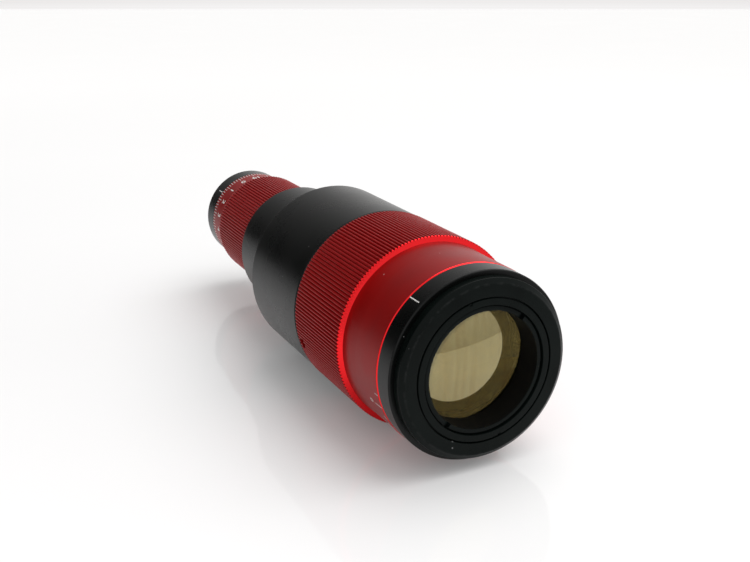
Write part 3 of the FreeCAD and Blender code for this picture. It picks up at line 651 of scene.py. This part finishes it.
def plain_metal(name, tint, rough):
    """Make a small screw's bare or oxidised metal."""
    made, tree, shader, place = new_material(name)
    grain = effect(tree, "grain", place, Scale=3000.0)
    drive(tree, shader, Metallic=1.0, Base_Color=blend_colours(
        tree, grain["Variation"], *shades(tint, 0.8, 1.0)),
          Roughness=varied(tree, grain, rough - 0.05, rough + 0.08))
    rough_skin(tree, shader, grain["Height"], grain["Variation"], 0.2)
    return made


def slick_plastic(name, tint):
    """Make the waxy plastic of the glide washers."""
    made, tree, shader, place = new_material(name)
    grain = effect(tree, "grain", place, Scale=2500.0)
    drive(tree, shader, Base_Color=blend_colours(
        tree, grain["Variation"], *shades(tint, 0.9, 1.0)),
          Subsurface_Weight=0.1, Roughness=varied(tree, grain, 0.42, 0.52))
    rough_skin(tree, shader, grain["Height"], grain["Variation"], 0.15)
    return made


FINISHES = {}


def finish(name):
    """Give a finish by name, made once."""
    chosen = colours()
    black = chosen.black, chosen.black_rough
    makers = {
        # The front black's last value is the radius of the painted highlight along the front
        # ring's edge.
        "front_black": (black_anodising, "Front black", chosen.front_black, chosen.black_rough,
                        0.1, 0.02, 1.17, outside("front_ring")[0] - 0.0013),
        "index_black": (black_anodising, "Index black", *black),
        "body_black": (black_anodising, "Body black", *black, 0.14),
        "rear_black": (black_anodising, "Rear black", *black),
        "inner_black": (black_anodising, "Inner black", chosen.inner, 0.62, 0.5, 0.01, 1.2),
        "red": (red_anodising, "Red anodising", chosen.red, chosen.red_rough),
        "zoom_knurl": (knurl_anodising, "Zoom knurl red", outside("zoom_ring")[0]),
        "focus_knurl": (knurl_anodising, "Focus knurl red", outside("focus_ring")[0]),
        "cut_red": (cut_anodising, "Cut red"),
        "paint": (painted_mark, "Scale paint", chosen.paint),
        "coated_glass": (lens_glass, "Coated glass", chosen.coating, 0.2),
        "rear_coating": (lens_glass, "Rear coating", chosen.rear_coating, 0.08),
        "clear_glass": (lens_glass, "Clear glass", chosen.glass, 0.0),
        "steel": (plain_metal, "Screw steel", chosen.steel, 0.3),
        "brass": (plain_metal, "Follower brass", chosen.brass, 0.28),
        "plastic": (slick_plastic, "Washer plastic", chosen.plastic),
    }
    if name not in FINISHES:
        make, *values = makers[name]
        FINISHES[name] = make(*values)
    return FINISHES[name]


# Pieces

def knurled_ring(name, outline, ribs, sectors, first_crest, knurl_from, knurl_to, slope=None):
    """Spin a ring, and press the grooves of its knurl in between two stations. The grooves run
    out on a slope in front, whose crest is at the station slope."""
    given = sizes()
    slack, near_crest, run_out = 1e-6, 0.12 * MM, 0.22 * MM
    crest_radius, front = outside(name)
    mesh = draw_profile(on_node(name, outline))
    spin_in_sectors(mesh, ribs * given.rib_steps, sectors)
    pitch = 2 * math.pi / ribs
    start, end = front + knurl_from * MM - slack, front + knurl_to * MM + slack
    for vert in mesh.verts:
        radius = math.hypot(vert.co.x, vert.co.z)
        if start <= vert.co.y <= end and radius > crest_radius - given.rib_depth - slack:
            place = math.atan2(vert.co.z, vert.co.x) / pitch
            off = abs(place - round(place)) - given.rib_crest / 2
            depth = given.rib_depth * max(0.0, off / (0.5 - given.rib_crest / 2))
            limit = crest_radius - depth
            if radius > limit:
                vert.co.x *= limit / radius
                vert.co.z *= limit / radius
                if slope and abs(vert.co.y - front - slope * MM) < near_crest:
                    vert.co.y -= min(radius - limit, run_out)
    turn_round(mesh, first_crest + pitch * given.rib_crest / 2)
    return mesh


def sort_ring_faces(mesh, plain, step, chamfer_front, knurl_from, knurl_to):
    """Give the ring's faces their finishes: 0 smooth red, 1 knurl, 2 cut faces."""
    for face in mesh.faces:
        centre = face.calc_center_median()
        radius = math.hypot(centre.x, centre.z)
        face.normal_update()
        if radius <= plain - 0.001:
            continue
        if knurl_from < centre.y < knurl_to and radius > plain + 0.0002:
            face.material_index = 1
        if step[0] < centre.y < step[1] and abs(face.normal.y) > 0.5 and radius > plain:
            face.material_index = 2
        if chamfer_front is not None and centre.y < chamfer_front and radius > plain - 0.0004:
            face.material_index = 2


def bore_screw_holes(piece, station, first, count, reach):
    """Bore a ring's grub screw holes."""
    tool = bmesh.new()
    for angle in spread_round(first, count):
        add_pin(tool, sizes().screw_hole, reach * 0.5, reach + PAST, station, angle)
    bmesh.ops.recalc_face_normals(tool, faces=tool.faces[:])
    carve(piece, tool)


def cut_notches(piece, name, first, reach, depth, width):
    """Cut a pair of spanner notches into the front of a turned piece."""
    radius, front = outside(name)
    tool = bmesh.new()
    for angle in spread_round(first, 2):
        add_block(tool, radius - reach, radius + PAST, front - PAST, front + depth, width, angle)
    carve(piece, tool)


class BEAM_OT_front_rings(bpy.types.Operator):
    """Make the front ring and the index ring"""
    bl_idname = "beam_expander.front_rings"
    bl_label = "Front Rings"

    def execute(self, context):
        ring = turned("front_ring", [
            (4.5, 0.0), (1.3, 0.0), (0.0, 0.9), (0.0, 3.1), (0.78, 3.1), (0.78, 6.1),
            (2.08, 6.1), (2.08, 3.1), (4.5, 3.1)], finish("front_black"))
        put_turned(ring, "barrel", "front_black", "front_ring")
        index = turned("index_ring", [
            (2.18, 0.0), (0.3, 0.0), (0.0, 0.3), (0.0, 5.9), (3.5, 5.9), (3.5, 3.15),
            (2.18, 3.15)], finish("index_black"))
        put_turned(index, "barrel", "index_black", "index_ring")
        return {"FINISHED"}


class BEAM_OT_output_mount(bpy.types.Operator):
    """Make the output lens's cell and retaining ring, with their spanner notches"""
    bl_idname = "beam_expander.output_mount"
    bl_label = "Output Mount"

    def execute(self, context):
        given = sizes()
        cell = turned("output_cell", [
            (2.13, 0.0), (0.4, 0.0), (0.4, 0.8), (0.0, 0.8), (0.0, 16.82), (3.93, 16.82),
            (3.93, 12.07), (2.13, 12.07)], finish("front_black"))
        cut_notches(cell, "output_cell", given.cell_notch_angle, 0.9 * MM,
                    given.cell_notch_depth, given.cell_notch_width)
        put_turned(cell, "barrel", "front_black", "output_cell")
        wall = 1.5
        ring = turned("output_retaining_ring", [
            (wall, 0.0), (0.35, 0.0), (0.35, 0.6), (0.0, 0.6), (0.0, 7.18), (wall, 7.18)],
            finish("front_black"), finish("inner_black"))
        cut_notches(ring, "output_retaining_ring", given.retainer_notch_angle, 2.0 * MM,
                    given.notch_depth, given.notch_width)
        bore = outside("output_retaining_ring")[0] - (wall - 0.01) * MM
        for face in ring.data.polygons:
            if math.hypot(face.center.x, face.center.z) < bore:
                face.material_index = 1
        put_turned(ring, "barrel", "front_black", "output_retaining_ring")
        return {"FINISHED"}


def sweep(mesh, corner, centre, sense, angle, steps):
    """Sweep a corner along an arc whose centre is on the barrel's axis."""
    bmesh.ops.spin(mesh, geom=[corner], cent=(0.0, centre, 0.0), axis=(0, 0, sense),
                   dvec=(0, 0, 0), angle=angle, steps=steps)


def draw_on(mesh, *places):
    """Draw a wire on from its outermost corner, and give its last corner."""
    corner = max(mesh.verts, key=lambda vert: vert.co.x)
    for place in places:
        corner = bmesh.ops.extrude_vert_indiv(mesh, verts=[corner])["verts"][0]
        corner.co = (*place, 0.0)
    return corner


def lens_mesh(front, curve, radius, rear, rear_curve=None, steps=160):
    """Spin a lens with a bulging front face and a flat or bulging rear face."""
    mesh = bmesh.new()
    sweep(mesh, mesh.verts.new((0.0, front, 0.0)), front + curve, 1,
          math.asin(radius / curve), 24)
    if rear_curve:
        reach = math.asin(radius / rear_curve)
        edge = rear - rear_curve * (1 - math.cos(reach))
        sweep(mesh, draw_on(mesh, (radius, edge)), rear - rear_curve, 1, reach, 20)
    else:
        draw_on(mesh, (radius, rear), (0.0, rear))
    spin_round(mesh, steps)
    return mesh


def hollow_lens_mesh(front, curve, rim_radius, radius, rear):
    """Spin a lens with a hollow front face inside a flat rim, and a flat rear face."""
    mesh = bmesh.new()
    sag = curve - math.sqrt(curve ** 2 - rim_radius ** 2)
    sweep(mesh, mesh.verts.new((0.0, front + sag, 0.0)), front + sag - curve, -1,
          math.asin(rim_radius / curve), 16)
    draw_on(mesh, (radius, front), (radius, rear), (0.0, rear))
    spin_round(mesh, 128)
    return mesh


class BEAM_OT_lenses(bpy.types.Operator):
    """Make the coated output lens and the two small lenses behind it"""
    bl_idname = "beam_expander.lenses"
    bl_label = "Lenses"

    def execute(self, context):
        low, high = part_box("output_lens")
        mesh = lens_mesh(low.y, sizes().lens_curve, high.x, high.y, sizes().lens_rear_curve)
        for face in mesh.faces:
            face.material_index = int(face.normal.y > 0.1)
        output = finish_piece(mesh, "output_lens_dressed", finish("coated_glass"),
                              finish("rear_coating"))
        put(output, "barrel", "coated_glass", "output_lens")
        low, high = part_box("zoom_lens")
        middle = finish_piece(
            hollow_lens_mesh(low.y, 38.0 * MM, high.x - 1.1 * MM, high.x, high.y),
            "zoom_lens_dressed", finish("clear_glass"))
        put(middle, "zoom_carriage", "clear_glass", "zoom_lens")
        low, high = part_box("focus_lens")
        rear = finish_piece(lens_mesh(low.y, 30.0 * MM, high.x, high.y, steps=96),
                            "focus_lens_dressed", finish("clear_glass"))
        put(rear, "focus_carriage", "clear_glass", "focus_lens")
        return {"FINISHED"}


class BEAM_OT_zoom_ring(bpy.types.Operator):
    """Make the zoom ring: smooth scale in front, bright step and knurled grip behind"""
    bl_idname = "beam_expander.zoom_ring"
    bl_label = "Zoom Ring"

    def execute(self, context):
        given = sizes()
        radius, front = outside("zoom_ring")
        foot, crest, end = 19.05, 19.5, 47.7
        mesh = knurled_ring("zoom_ring", [
            (3.05, 0.0), (ZOOM_SCALE_DEPTH + 0.3, 0.0), (ZOOM_SCALE_DEPTH, 0.3),
            (ZOOM_SCALE_DEPTH, foot - 7.0), (ZOOM_SCALE_DEPTH - 0.2, foot),
            (0.25, crest - 0.25), (0.0, crest), (0.0, end - 0.4), (0.4, end), (3.05, end)],
            given.zoom_ribs, 10, given.screw_angle, foot - 0.01, end, crest)
        plain = radius - ZOOM_SCALE_DEPTH * MM
        sort_ring_faces(mesh, plain, (front + (foot - 0.05) * MM, front + crest * MM),
                        front + 0.00035, front + foot * MM, front + 48 * MM)
        ring = finish_piece(mesh, "zoom_ring_dressed", finish("red"), finish("zoom_knurl"),
                            finish("cut_red"))
        bore_screw_holes(ring, front + ZOOM_SCREW_PLACE * MM, given.screw_angle, ZOOM_SCREWS,
                         radius)
        put_turned(ring, "zoom_drive", "anodised_red", "zoom_ring")
        return {"FINISHED"}


class BEAM_OT_focus_ring(bpy.types.Operator):
    """Make the focus ring: knurled grip in front, smooth scale behind"""
    bl_idname = "beam_expander.focus_ring"
    bl_label = "Focus Ring"

    def execute(self, context):
        given = sizes()
        radius, front = outside("focus_ring")
        step = 30.85
        mesh = knurled_ring("focus_ring", [
            (2.6, 0.0), (0.4, 0.0), (0.0, 0.4), (0.0, step - 0.3), (0.3, step),
            (FOCUS_SCALE_DEPTH, step), (FOCUS_SCALE_DEPTH, 41.9),
            (FOCUS_SCALE_DEPTH + 0.3, 42.2), (2.6, 42.2)], given.focus_ribs, 8,
            given.focus_screw_angle, -0.01, step + 0.01)
        plain = radius - FOCUS_SCALE_DEPTH * MM
        sort_ring_faces(mesh, plain, (front + (step - 0.1) * MM, front + (step + 0.1) * MM), None,
                        front - 0.001, front + (step - 0.02) * MM)
        ring = finish_piece(mesh, "focus_ring_dressed", finish("red"), finish("focus_knurl"),
                            finish("cut_red"))
        bore_screw_holes(ring, front + FOCUS_SCREW_PLACE * MM, given.focus_screw_angle,
                         FOCUS_SCREWS, radius)
        put_turned(ring, "focus_drive", "anodised_red", "focus_ring")
        return {"FINISHED"}


class BEAM_OT_main_body(bpy.types.Operator):
    """Make the main body and its slim neck"""
    bl_idname = "beam_expander.main_body"
    bl_label = "Main Body"

    def execute(self, context):
        body = turned("main_body", [
            (5.2, 0.0), (0.6, 0.0), (0.0, 0.6), (0.0, 34.9), (0.6, 35.5), (6.32, 35.5),
            (6.32, 62.2), (6.62, 62.5), (13.23, 62.5), (13.23, 51.5), (11.25, 51.5),
            (11.25, 32.0), (5.2, 32.0)], finish("body_black"))
        put_turned(body, "barrel", "body_black", "main_body")
        return {"FINISHED"}


class BEAM_OT_rear_ring(bpy.types.Operator):
    """Make the rear index ring with its input thread"""
    bl_idname = "beam_expander.rear_ring"
    bl_label = "Rear Ring"

    def execute(self, context):
        given = sizes()
        root = 1.99
        ring = turned("rear_index_ring", [
            (2.8, 0.0), (0.3, 0.0), (0.0, 0.3), (0.0, 6.7), (0.3, 7.0), (root, 7.0),
            (root, 11.5), (8.09, 11.5), (8.89, 10.7), (8.89, 4.5), (2.8, 4.5)],
            finish("rear_black"))
        pitch, depth = given.thread_pitch, given.thread_depth
        foot = outside("rear_index_ring")[0] - root * MM
        ridge = bmesh.new()
        ridge.faces.new([ridge.verts.new((foot + out, 0.0002 + along * pitch, 0.0))
                         for out, along in ((-0.0003, 0.02), (0.0, 0.02), (depth, 0.42),
                                            (depth, 0.54), (0.0, 0.94), (-0.0003, 0.94))])
        turns, steps = 3, 96
        bmesh.ops.spin(ridge, geom=ridge.verts[:] + ridge.edges[:] + ridge.faces[:],
                       cent=(0, 0, 0), axis=AXIS, dvec=(0, pitch / steps, 0),
                       angle=turns * 2 * math.pi, steps=steps * turns)
        close(ridge)
        carve(ring, ridge, "UNION")
        put_turned(ring, "barrel", "rear_black", "rear_index_ring")
        return {"FINISHED"}


def grub_screws(name, station, first, count, inner, outer, body):
    """Make a ring's grub screws, with hex sockets and a chamfered rim."""
    mesh = bmesh.new()
    socket = bmesh.new()
    radius = sizes().screw_hole - 0.02 * MM
    for angle in spread_round(first, count):
        pin = add_pin(mesh, radius, inner, outer, station, angle)
        direction = Vector((math.cos(angle), 0, math.sin(angle)))
        rim = [edge for edge in {edge for vert in pin for edge in vert.link_edges}
               if all(vert.co.dot(direction) > (inner + outer) / 2 for vert in edge.verts)
               and not edge.is_wire]
        bmesh.ops.bevel(mesh, geom=rim, offset=0.15 * MM, offset_type="OFFSET", segments=1,
                        profile=0.5, affect="EDGES", material=-1)
        add_pin(socket, 0.8 * MM, outer - 1.2 * MM, outer + PAST, station, angle, 6)
    close(mesh)
    screws = finish_piece(mesh, f"{name}_dressed", finish("steel"))
    carve(screws, socket)
    put(screws, body, "screw_steel", name)


class BEAM_OT_grub_screws(bpy.types.Operator):
    """Make the grub screws of both rings"""
    bl_idname = "beam_expander.grub_screws"
    bl_label = "Grub Screws"

    def execute(self, context):
        given = sizes()
        for ring, first, count, place, bite, body in (
                ("zoom_ring", given.screw_angle, ZOOM_SCREWS, ZOOM_SCREW_PLACE, 3.77,
                 "zoom_drive"),
                ("focus_ring", given.focus_screw_angle, FOCUS_SCREWS, FOCUS_SCREW_PLACE, 3.32,
                 "focus_drive")):
            radius, front = outside(ring)
            grub_screws(f"{ring}_screws", front + place * MM, first, count,
                        radius - bite * MM, radius - 0.8 * MM, body)
        return {"FINISHED"}


# Scale marks

def figure_mesh(text, height, weight=0.0):
    """Give the solid mesh of a number, centred, in the XY plane; weight thickens its strokes."""
    given = marks()
    data = bpy.data.curves.new("figure", "FONT")
    data.body = text
    data.size = height / 0.72
    data.align_x = "CENTER"
    data.align_y = "CENTER"
    data.extrude = given.thickness / 2
    data.offset = weight
    data.resolution_u = 4
    holder = add_object("figure", data)
    made = evaluated_mesh(holder)
    bpy.data.objects.remove(holder)
    bpy.data.curves.remove(data)
    return made


def add_flat(mesh, source, radius, station, angle):
    """Bend a flat mesh onto a round wall: X goes round it, and Y points to the front."""
    given = marks()
    before = set(mesh.verts)
    mesh.from_mesh(source)
    bpy.data.meshes.remove(source)
    level = radius + given.proud - given.thickness / 2
    for vert in set(mesh.verts) - before:
        about = angle + vert.co.x / radius
        out = level + vert.co.z
        vert.co = (out * math.cos(about), station - vert.co.y, out * math.sin(about))


def add_line(mesh, radius, start, end, width, angle):
    """Inlay a line along the axis, from one station to another."""
    given = marks()
    add_block(mesh, radius + given.proud - given.thickness, radius + given.proud,
              start, end, width, angle)


def finish_marks(mesh, name, body):
    """Make one piece of a ring's marks."""
    close(mesh)
    put(finish_piece(mesh, name, finish("paint")), body, None)


class BEAM_OT_scale_marks(bpy.types.Operator):
    """Inlay the index lines and both scales"""
    bl_idname = "beam_expander.scale_marks"
    bl_label = "Scale Marks"

    def execute(self, context):
        given = marks()
        index = bmesh.new()
        add_line(index, outside("index_ring")[0], FRONT_FACE + 0.0045, FRONT_FACE + 0.00895,
                 given.index_line, given.index_angle)
        radius, front = outside("rear_index_ring")
        add_line(index, radius, front + 0.0004, front + 0.0036, given.index_line,
                 given.rear_index_angle)
        finish_marks(index, "index_lines", "barrel")

        scale = bmesh.new()
        radius = outside("zoom_ring")[0] - ZOOM_SCALE_DEPTH * MM
        for k in range(13):
            angle = given.first_long + k * given.step
            add_line(scale, radius, FRONT_FACE + 0.0096, FRONT_FACE + 0.0131, given.line, angle)
            add_line(scale, radius, FRONT_FACE + 0.0096, FRONT_FACE + 0.0114, given.line,
                     angle - given.step / 2)
            add_flat(scale, figure_mesh(str(k), given.figure), radius,
                     FRONT_FACE + 0.0152, angle)
        finish_marks(scale, "zoom_scale", "zoom_drive")

        scale = bmesh.new()
        radius = outside("focus_ring")[0] - FOCUS_SCALE_DEPTH * MM
        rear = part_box("focus_ring")[1].y
        for k in range(20):
            angle = given.focus_first + k * given.focus_step
            add_flat(scale, figure_mesh(str(k), given.focus_figure, 0.00006), radius,
                     rear - 0.0058, angle)
            for part in range(5):
                long = 0.0028 if part == 0 else 0.0018
                add_line(scale, radius, rear - 0.0004 - long, rear - 0.0004, given.line,
                         angle + part * given.focus_step / 5)
        finish_marks(scale, "focus_scale", "focus_drive")
        return {"FINISHED"}


class BEAM_OT_inner_pieces(bpy.types.Operator):
    """Give the tubes, cams, cells, followers and washers their finishes"""
    bl_idname = "beam_expander.inner_pieces"
    bl_label = "Inner Pieces"

    def execute(self, context):
        other = {"zoom_followers": "brass", "focus_followers": "brass",
                 "zoom_front_washer": "plastic", "zoom_rear_washer": "plastic",
                 "focus_front_washer": "plastic", "focus_rear_washer": "plastic"}
        for name, piece in NODES.items():
            if not piece.hide_render:
                piece.data.materials.clear()
                piece.data.materials.append(finish(other.get(name, "inner_black")))
        return {"FINISHED"}


# Stage

BOARD_SIZE = (6.0, 6.0)
BOARD_FRONT = -0.255            # the board's near edge, which the camera doesn't see
BOARD_START = Vector((-0.1274, -0.3642, 0.0))   # under the camera
BOARD_REACH = 1.9               # how far the board goes from there
WHITE_SHARE = 0.12              # how much of the board shows as plain white
HEADING = Vector((0.4459, 0.8951, 0.0))
CAMERA_PLACE = (-0.12744, -0.3642, 0.10138)
CAMERA_AXES = ((0.89508, -0.4459, 0.0), (0.14248, 0.2860, 0.94759), (-0.42253, -0.8482, 0.31951))


def seen_rays(tree):
    """Tell rays from the camera, straight, mirrored or through glass, from those that light."""
    path = node(tree, "ShaderNodeLightPath").outputs
    return maths(tree, "MAXIMUM", path["Is Camera Ray"], maths(
        tree, "MAXIMUM", path["Is Glossy Ray"], path["Is Transmission Ray"]))


def floor_material():
    """Make the glossy white board that the barrel lies on."""
    made, tree, shader, place = new_material("Floor board")
    smear = noise(tree, place, 14.0, 3.0)
    drive(tree, shader, Base_Color=colours().floor, IOR=1.45,
          Roughness=spread(tree, smear, 0.3, 0.7, 0.05, 0.08))
    white = node(tree, "ShaderNodeEmission", {"Color": (1.0, 1.0, 1.0), "Strength": 1.0})
    mixed = node(tree, "ShaderNodeMixShader", {
        0: maths(tree, "MULTIPLY", seen_rays(tree), WHITE_SHARE), 1: shader.outputs[0],
        2: white.outputs[0]})
    tree.links.new(mixed.outputs[0], tree.nodes["Material Output"].inputs["Surface"])
    return made


def light_world():
    """Light the scene: pale from the near side and overhead, and at the far side bright on the
    right and dim on the left, on a pale background."""
    chosen = colours()
    world = bpy.data.worlds.new("Studio")
    bpy.context.scene.world = world
    world.use_nodes = True
    tree = world.node_tree
    tree.nodes.clear()
    across, along, height = node(tree, "ShaderNodeSeparateXYZ", {
        0: node(tree, "ShaderNodeTexCoord").outputs["Generated"]}).outputs
    shown = blend_colours(tree, spread(tree, height, -0.0755, -0.052),
                          (1.0, 1.0, 1.0), chosen.haze)
    far = blend_colours(tree, spread(tree, across, -0.36, 0.65),
                        chosen.dim_side, chosen.bright_side)
    low = maths(tree, "MULTIPLY", spread(tree, height, 0.12, 0.35, 1.0, 0.0),
                spread(tree, across, -0.3, -0.05))
    far = blend_colours(tree, low, far, chosen.bright_side)
    near = blend_colours(tree, spread(tree, height, -0.45, -0.06), chosen.table, chosen.near_side)
    open_side = maths(tree, "MAXIMUM", spread(tree, along, -0.25, 0.25, 1.0, 0.0),
                      spread(tree, height, 0.68, 0.88))
    room = blend_colours(tree, open_side, far, near)
    path = node(tree, "ShaderNodeLightPath").outputs
    seen = maths(tree, "MAXIMUM", path["Is Camera Ray"], path["Is Transmission Ray"])
    light = node(tree, "ShaderNodeBackground", {
        "Color": blend_colours(tree, seen, room, shown), "Strength": 1.0})
    node(tree, "ShaderNodeOutputWorld", {"Surface": light.outputs[0]})


def key_lamp():
    """Add a broad, even lamp from above and the right."""
    data = bpy.data.lights.new("Key", "SUN")
    data.energy = 1.55
    data.angle = math.radians(60.0)
    lamp = add_object("Key", data)
    lamp.rotation_mode = "QUATERNION"
    lamp.rotation_quaternion = Vector((0.40, 0.0, 0.90)).to_track_quat("Z", "Y")


def lay_board():
    """Lay the floor board, from just before the barrel to the far background."""
    board = bmesh.new()
    bmesh.ops.create_grid(board, x_segments=1, y_segments=1, size=0.5, matrix=(
        Matrix.Translation((0, 0, FLOOR_HEIGHT)) @ Matrix.Diagonal((*BOARD_SIZE, 1, 1))))
    for place, way in ((Vector((0, BOARD_FRONT, 0)), Vector((0, -1, 0))),
                       (BOARD_START + HEADING * BOARD_REACH, HEADING)):
        bmesh.ops.bisect_plane(board, geom=board.verts[:] + board.edges[:] + board.faces[:],
                               plane_co=place, plane_no=way, clear_outer=True)
    finish_piece(board, "floor_board", floor_material())


def place_camera():
    """Place the camera where the photograph's was."""
    camera = bpy.data.cameras.new("Camera")
    camera.lens = 49.47
    camera.sensor_width = 36.0
    camera.clip_start = 0.005
    camera.clip_end = 200.0
    holder = add_object("Camera", camera)
    holder.matrix_world = (Matrix.Translation(CAMERA_PLACE)
                           @ Matrix(CAMERA_AXES).transposed().to_4x4())
    bpy.context.scene.camera = holder


class BEAM_OT_stage(bpy.types.Operator):
    """Make the floor, the light and the camera"""
    bl_idname = "beam_expander.stage"
    bl_label = "Stage"

    def execute(self, context):
        lay_board()
        light_world()
        key_lamp()
        place_camera()
        bpy.context.scene.view_settings.view_transform = "Standard"
        return {"FINISHED"}


class VIEW3D_PT_beam_expander(bpy.types.Panel):
    """Lists the pieces and their settings"""
    bl_label = "Beam Expander"
    bl_idname = "VIEW3D_PT_beam_expander"
    bl_space_type = "VIEW_3D"
    bl_region_type = "UI"
    bl_category = "Beam Expander"

    def draw(self, context):
        for maker in MAKERS:
            self.layout.operator(maker.bl_idname)
        for group in GROUPS:
            box = self.layout.box()
            for name in GROUPS[group].__annotations__:
                box.prop(getattr(context.scene, group), name)


GROUPS = {SIZES: BarrelSizes, MARKS: MarkSizes, COLOURS: FinishColours}
MAKERS = (BEAM_OT_front_rings, BEAM_OT_output_mount, BEAM_OT_lenses, BEAM_OT_zoom_ring,
          BEAM_OT_main_body, BEAM_OT_focus_ring, BEAM_OT_rear_ring, BEAM_OT_grub_screws,
          BEAM_OT_scale_marks, BEAM_OT_inner_pieces, BEAM_OT_stage)


def register():
    """Register every class, and put the settings on the scene."""
    for item in (*GROUPS.values(), *MAKERS, VIEW3D_PT_beam_expander):
        bpy.utils.register_class(item)
    for name, group in GROUPS.items():
        setattr(bpy.types.Scene, name, PointerProperty(type=group))


def unregister():
    """Take the settings and the classes away again."""
    for name in GROUPS:
        delattr(bpy.types.Scene, name)
    for item in reversed((*GROUPS.values(), *MAKERS, VIEW3D_PT_beam_expander)):
        bpy.utils.unregister_class(item)


def main():
    """Build every piece and the stage."""
    register()
    for maker in MAKERS:
        getattr(bpy.ops.beam_expander, maker.bl_idname.split(".")[1])()


if __name__ == "__main__":
    main()
